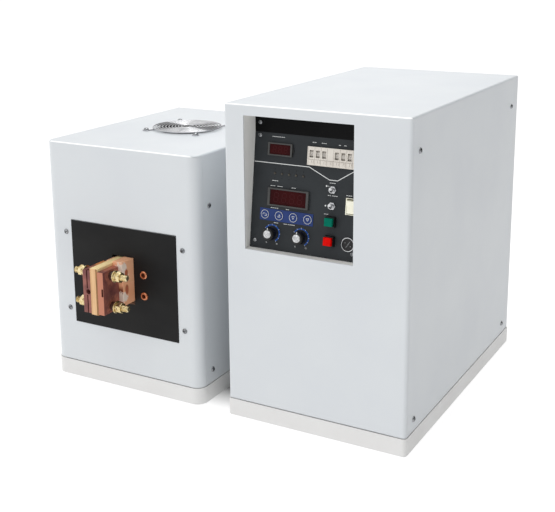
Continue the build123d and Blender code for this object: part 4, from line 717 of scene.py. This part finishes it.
# Dial scales: a blue band, ticks by nodes, and plain end numbers
dial = {"spots": ((-42.0, 20.5), (-2.5, 20.5)), "inner": 9.3, "outer": 10.9, "ends": (-60, 240), "steps": 61,
        "numbers": (("0", 240), ("10", -60)), "numberRing": 14.2, "numberSize": 2.6,
        "ticks": {"Radius": 10.6, "Sweep": radians(300), "Start": radians(-60), "Ticks": 11, "Tick Width": 0.35,
                  "Tick Length": 1.5, "Tick Height": 0.06}}


def tickTree():
    tree, size = newTree("dial ticks", dial["ticks"])
    arc = treeNode(tree, "GeometryNodeCurveArc", {"Resolution": 64, "Radius": size["Radius"],
                                                  "Start Angle": size["Start"], "Sweep Angle": size["Sweep"]})
    spots = treeNode(tree, "GeometryNodeCurveToPoints", {"Curve": arc, "Count": size["Ticks"]})
    extent = combine(tree, size["Tick Length"], size["Tick Height"], size["Tick Width"])
    bar = treeNode(tree, "GeometryNodeMeshCube", {"Size": extent})
    ticks = treeNode(tree, "GeometryNodeInstanceOnPoints", {"Points": spots, "Instance": bar,
                                                            "Rotation": spots.outputs["Rotation"]})
    return closeTree(tree, ticks, whiteInk)


tickNodes = tickTree()
white = bmesh.new()
blue = bmesh.new()
for u, v in dial["spots"]:
    ticks = runTree(tickNodes, pointsMesh(), dial["ticks"])
    ticks.transform(Matrix.Translation((u, v, inkHigh)))
    white.from_mesh(ticks)
    start, end = dial["ends"]
    band = (arcPoints(dial["outer"], start, end, dial["steps"], (u, v))
            + arcPoints(dial["inner"], end, start, dial["steps"], (u, v)))
    addPrism(blue, band, inkLow, inkHigh)
    for number, angle in dial["numbers"]:
        letters = textMesh(number, dial["numberSize"])
        letters.transform(Matrix.Translation((*around(dial["numberRing"], radians(angle), (u, v)), inkHigh)))
        white.from_mesh(letters)
fromBmesh("dial_ticks", white, onPanel(), whiteInk, "cabinets")
fromBmesh("dial_bands", blue, onPanel(), blueInk, "cabinets")
print("panel print done")

# Knobs: turned skirt with flutes by nodes, spun silver cap, white pointer
knob = {"nodes": ("knob_left", "knob_right"), "bodies": ("left_knob", "right_knob"), "steps": 64,
        "skirt": [(0, 5.4), (4.4, 5.4), (4.4, 0.8), (7.9, 0.8), (8.15, 1.1), (8.1, 2.0), (7.6, 2.5), (7.5, 10.6),
                  (7.1, 11.5), (6.2, 11.9), (5.35, 11.95), (5.2, 11.6), (0, 11.6)],
        "cap": [(0, 11.55), (5.0, 11.55), (5.05, 12.2), (4.8, 12.6), (4.3, 12.78), (0, 12.82)],
        "pointer": (0, 6.5, 0.9, 2.2), "pointerLift": (11.6, 12.02), "fluteLift": 6.6,
        "flutes": {"Ring Radius": 7.55, "Flutes": 26, "Flute Radius": 0.42, "Flute Length": 8.2}}


def fluteTree():
    tree, size = newTree("knob flutes", knob["flutes"])
    circle = treeNode(tree, "GeometryNodeMeshCircle", {"Vertices": size["Flutes"], "Radius": size["Ring Radius"]})
    rib = treeNode(tree, "GeometryNodeMeshCylinder", {"Vertices": 8, "Radius": size["Flute Radius"],
                                                      "Depth": size["Flute Length"]})
    ribs = treeNode(tree, "GeometryNodeInstanceOnPoints", {"Points": circle, "Instance": rib})
    return closeTree(tree, ribs, blackPlastic)


fluteNodes = fluteTree()
for (u, v), node, body in zip(dial["spots"], knob["nodes"], knob["bodies"]):
    place = onPanel(u, v)
    bm = bmesh.new()
    addTurned(bm, knob["skirt"], knob["steps"])
    ribs = runTree(fluteNodes, pointsMesh(), knob["flutes"])
    ribs.transform(Matrix.Translation((0, 0, knob["fluteLift"])))
    bm.from_mesh(ribs)
    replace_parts(fromBmesh(node + "_skirt", bm, place, blackPlastic, body), node)
    bm = bmesh.new()
    addTurned(bm, knob["cap"], knob["steps"])
    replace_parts(fromBmesh(node + "_cap", bm, place, brushedCap, body), node)
    bm = bmesh.new()
    addPrism(bm, rectangle(*knob["pointer"]), *knob["pointerLift"])
    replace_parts(fromBmesh(node + "_pointer", bm, place, whiteInk, body), node)
print("knobs done")

# Meters: unlit digits on the red windows, each row's middle u, v, count, pitch, height and lift
meterRows = ((-36.0, 122.3, 3, 7.6, 7.6, 1.605), (-21.8, 65.0, 4, 10.6, 11.0, 2.105))
digit = {"width": 0.52, "bar": 0.12, "slant": 0.1, "point": 1.6, "depth": 0.035}   # shares of its height, depth in mm


def addDigit(bm, u, v, height, low):
    w, t, high = height * digit["width"], height * digit["bar"], low + digit["depth"]
    bars = [(0, y, w - t, t) for y in (height / 2, 0, -height / 2)]
    bars += [(x, y, t, height / 2 - t) for y in (height / 4, -height / 4) for x in (-w / 2, w / 2)]
    for x, y, width, tall in bars:
        addPrism(bm, rectangle(u + x + digit["slant"] * y, v + y, width, tall), low, high)
    addPrism(bm, rectangle(u + w / 2 + digit["point"] * t, v - height / 2, t, t), low, high)


bm = bmesh.new()
for u, v, count, pitch, height, lift in meterRows:
    for i in range(count):
        addDigit(bm, u + (i - (count - 1) / 2) * pitch, v, height, lift)
fromBmesh("meter_digits", bm, onPanel(), redDigits, "cabinets")
print("meters done")

# Timer number wheels: ten flat faces round a bore, with a digit on each face
timer = {"u": [1.5 + 1.2 + (i + 0.5) * 8.2 for i in (0, 1, 2, 4, 5, 6)], "v": 121.4, "lift": -4.6, "faces": 10,
         "radius": 6.1, "bore": 1.55, "width": 6.4, "digit": 3.0, "digitLift": 0.02, "step": 3}
for number, u in enumerate(timer["u"], start=1):
    hub = onPanel(u, timer["v"], timer["lift"])
    out = hub.col[2].xyz
    place = axes(out, Vector((1, 0, 0)).cross(out), (1, 0, 0), hub.col[3].xyz)
    turns = [2 * pi * i / timer["faces"] for i in range(timer["faces"])]
    inner = [around(timer["bore"], turn) for turn in turns]
    outer = [around(timer["radius"], turn + pi / timer["faces"]) for turn in turns]
    half = timer["width"] / 2
    bm = bmesh.new()
    addWalls(bm, [[bm.verts.new((*spot, z)) for spot in line] for line, z in
                  ((inner, -half), (outer, -half), (outer, half), (inner, half))], closed=True)
    wheel = fromBmesh(f"number_wheel_{number}", bm, place, wheelPlastic, f"timer_wheel_{number}")
    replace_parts(wheel, f"timer_wheel_{number}")
    digits = bmesh.new()
    flat = timer["radius"] * cos(pi / timer["faces"]) + timer["digitLift"]
    for value, turn in enumerate(turns):
        letters = textMesh(str((value + timer["step"] * number) % timer["faces"]), timer["digit"])
        letters.transform(Matrix.Rotation(turn, 4, "X") @ Matrix.Translation((0, 0, flat)))
        digits.from_mesh(letters)
    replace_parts(fromBmesh(f"wheel_digits_{number}", digits, hub, greyInk, f"timer_wheel_{number}"),
                f"timer_wheel_{number}")

# Pale lips close the housing round each wheel, and fine seams part the tiles; spans are low and high
timerFace = {"v": 119.0, "lift": 3.0, "first": 2.7, "pitch": 8.2, "slots": 7, "tall": 20.6, "seam": 0.3,
             "seamSpan": (-0.02, 0.03), "across": (32.4, 114.9, 59.0), "lip": (4.3, 5.02), "lipWidth": 5.2,
             "lipSpan": (0.3, 2.9), "mark": (0.7, 112.4, 0.35, 2.8), "markSpan": (0.6, 0.64)}
bm = bmesh.new()
near, far = timerFace["lip"]
for u in timer["u"]:
    for side in (-1, 1):
        spot = timer["v"] + side * (near + far) / 2
        addPrism(bm, rectangle(u, spot, timerFace["lipWidth"], far - near), *timerFace["lipSpan"])
fromBmesh("timer_lips", bm, onPanel(), creamPlastic, "cabinets")
bm = bmesh.new()
seamSpan, markSpan = [[timerFace["lift"] + part for part in timerFace[name]] for name in ("seamSpan", "markSpan")]
for i in range(timerFace["slots"] + 1):
    u = timerFace["first"] + timerFace["pitch"] * i
    addPrism(bm, rectangle(u, timerFace["v"], timerFace["seam"], timerFace["tall"]), *seamSpan)
addPrism(bm, rectangle(*timerFace["across"], timerFace["seam"]), *seamSpan)
beside, v, width, height = timerFace["mark"]
for i in range(timerFace["slots"]):
    u = timerFace["first"] + timerFace["pitch"] * (i + 0.5)
    addPrism(bm, rectangle(u + beside, v, width, height), *markSpan)
fromBmesh("timer_seams", bm, onPanel(), seamShade, "cabinets")
print("timer done")

# Round keys: white rings and plain signs
keyPrint = {"u": [-23.6 + (i - 1.5) * 19.3 for i in range(4)], "v": 42.7, "lift": 1.1, "stroke": 0.42,
            "ring": [(4.9, inkLow), (5.3, inkLow), (5.3, inkHigh), (4.9, inkHigh)]}
signs = [
    [[(-2.6, -1.0), (-2.6, 1.2), (0.4, 1.2)], [(0.6, 0.2), (2.6, 0.2), (2.6, -1.6), (-0.4, -1.6)]],
    [[(-1.6, -1.5), (1.6, -1.5), (0.9, 1.6), (-1.6, -1.5)]],
    [[(-1.8, 1.5), (1.8, 1.5)], [(-1.6, 0.5), (0, -1.8), (1.6, 0.5)]],
    [[(-1.9, 1.4), (1.9, 1.4), (0, -1.8), (-1.9, 1.4)]],
]
for number, (u, sign) in enumerate(zip(keyPrint["u"], signs), start=1):
    bm = bmesh.new()
    addTurned(bm, keyPrint["ring"])
    for line in sign:
        for a, b in zip(line, line[1:]):
            addPrism(bm, ribbon([a, b], keyPrint["stroke"]), inkLow, inkHigh)
    fromBmesh(f"key_print_{number}", bm, onPanel(u, keyPrint["v"], keyPrint["lift"]), whiteInk, f"key_{number}")
print("keys done")

# Foot switch socket: a thin bright ring round a dark insert with pins and a keyway line
socket = {"spot": (60.0, 20.5),
          "shell": [(7.35, -1.0), (7.35, 2.7), (7.55, 3.1), (7.9, 3.2), (8.25, 3.0), (8.5, 2.4), (8.5, 0.05),
                    (7.8, 0.05), (7.8, -10.8), (6.2, -10.8), (6.2, -1.0)],
          "insert": [(0, -1.0), (6.3, -1.0), (7.2, -0.6), (7.2, 1.5), (6.9, 1.8), (0, 1.8)],
          "pin": [(0, 1.7), (0.65, 1.7), (0.65, 2.5), (0.4, 2.8), (0, 2.8)], "pins": ((-3.4, 1.8), (3.4, -1.8)),
          "line": [(-2.6, -4.0), (2.6, 4.2)], "lineWidth": 0.4, "lineLift": (1.8, 2.0)}
place = onPanel(*socket["spot"])
bm = bmesh.new()
addTurned(bm, socket["shell"], 64)
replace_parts(fromBmesh("socket_shell", bm, place, chrome, "cabinets"), "foot_switch_socket")
bm = bmesh.new()
addTurned(bm, socket["insert"])
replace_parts(fromBmesh("socket_insert", bm, place, blackPlastic, "cabinets"), "foot_switch_socket")
bm = bmesh.new()
addPrism(bm, ribbon(socket["line"], socket["lineWidth"]), *socket["lineLift"])
for pin in socket["pins"]:
    addTurned(bm, socket["pin"], 16, pin)
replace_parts(fromBmesh("socket_pins", bm, place, zinc, "cabinets"), "foot_switch_socket")
print("socket done")

# Floor, light and camera; the floor does not glow in the gap between the cabinets, given in mm, which paints shade
# there
studio = {"floor": (150, 150, 150), "reach": 40, "glow": 0.8, "sky": (0.0, 1.12), "ramp": (-0.5, 0.9),
          "key": (-0.6, -0.45, 0.66), "back": (-0.5, 0.85, 0.35), "card": (0.93, 0.97), "backdrop": 1.05,
          "gap": (("X", -90, -50), ("X", 90, 50), ("Y", -175, -120), ("Y", 270, 216)),
          "lights": (("top softbox", (0.1, 0.4, 2.1), (0, 0, 0.3), (1.3, 1.3), 16),
                     ("front softbox", (-0.9, -2.2, 1.3), (0, 0, 0.2), (1.2, 1.6), 2))}
floorMaterial = finish("studio floor", studio["floor"], studio["floor"], blotch=1, rough=(0.8, 0.9), grain=0,
                       specular=0.1)
floorTree = floorMaterial.node_tree
gapShadeMask = allMasks(floorTree, *[axisMask(floorTree, *edge) for edge in studio["gap"]])
glow = ranged(floorTree, gapShadeMask, 0.0, 1.0, studio["glow"], 0.0)
fill(floorTree.nodes["Principled BSDF"], {"Emission Color": (1, 1, 1, 1), "Emission Strength": glow})
floorMesh = bpy.data.meshes.new("floor")
corners = [(x * studio["reach"], y * studio["reach"], 0) for x, y in ((-1, -1), (1, -1), (1, 1), (-1, 1))]
floorMesh.from_pydata(corners, [], [(0, 1, 2, 3)])
floorMesh.materials.append(floorMaterial)
floor = addObject("floor", floorMesh)

# The sky is brighter towards the key side, with a bright card behind, and the camera sees it plain white
world = bpy.data.worlds.new("studio")
bpy.context.scene.world = world
world.use_nodes = True
sky = world.node_tree
look = treeNode(sky, "ShaderNodeTexCoord").outputs["Generated"]
towardKey, towardBack = [
    treeNode(sky, "ShaderNodeVectorMath", {0: look, 1: Vector(studio[way]).normalized()},
             operation="DOT_PRODUCT").outputs["Value"] for way in ("key", "back")]
brighter = maths(sky, "MAXIMUM", ranged(sky, towardKey, *studio["ramp"], *studio["sky"]),
                 ranged(sky, towardBack, *studio["card"], 0.0, studio["backdrop"]))
soft = fill(sky.nodes["Background"], {"Color": (1, 1, 1, 1), "Strength": brighter})
plain = treeNode(sky, "ShaderNodeBackground", {"Color": (1, 1, 1, 1), "Strength": studio["backdrop"]})
seen = treeNode(sky, "ShaderNodeLightPath").outputs["Is Camera Ray"]
fill(sky.nodes["World Output"], {"Surface": treeNode(sky, "ShaderNodeMixShader", {0: seen, 1: soft, 2: plain})})
bpy.context.scene.view_settings.view_transform = "Standard"

for name, spot, aim, size, power in studio["lights"]:
    lamp = bpy.data.lights.new(name, "AREA")
    lamp.shape = "RECTANGLE"
    lamp.size, lamp.size_y = size
    lamp.energy = power
    holder = addObject(name, lamp)
    holder.location = spot
    holder.rotation_euler = (Vector(aim) - Vector(spot)).to_track_quat("-Z", "Y").to_euler()

# Camera from the photograph: position in mm, heading, pitch and roll in radians
view = {"spot": (652.8, -1180.0, 581.8), "heading": -0.5071, "pitch": 0.229, "roll": -0.0067, "lens": 64.92,
        "shift": (-0.0069, -0.14)}
lensData = bpy.data.cameras.new("photo camera")
lensData.lens = view["lens"]
lensData.sensor_width = 36
lensData.shift_x, lensData.shift_y = view["shift"]
camera = addObject("photo camera", lensData)
ahead = Vector((sin(view["heading"]) * cos(view["pitch"]), cos(view["heading"]) * cos(view["pitch"]),
                -sin(view["pitch"])))
right = Vector((cos(view["heading"]), -sin(view["heading"]), 0))
up = right.cross(ahead)
rolled = right * cos(view["roll"]) + up * sin(view["roll"])
upright = up * cos(view["roll"]) - right * sin(view["roll"])
camera.matrix_world = axes(rolled, upright, -ahead, Vector(view["spot"]) * mm)
bpy.context.scene.camera = camera

print("scene ready")
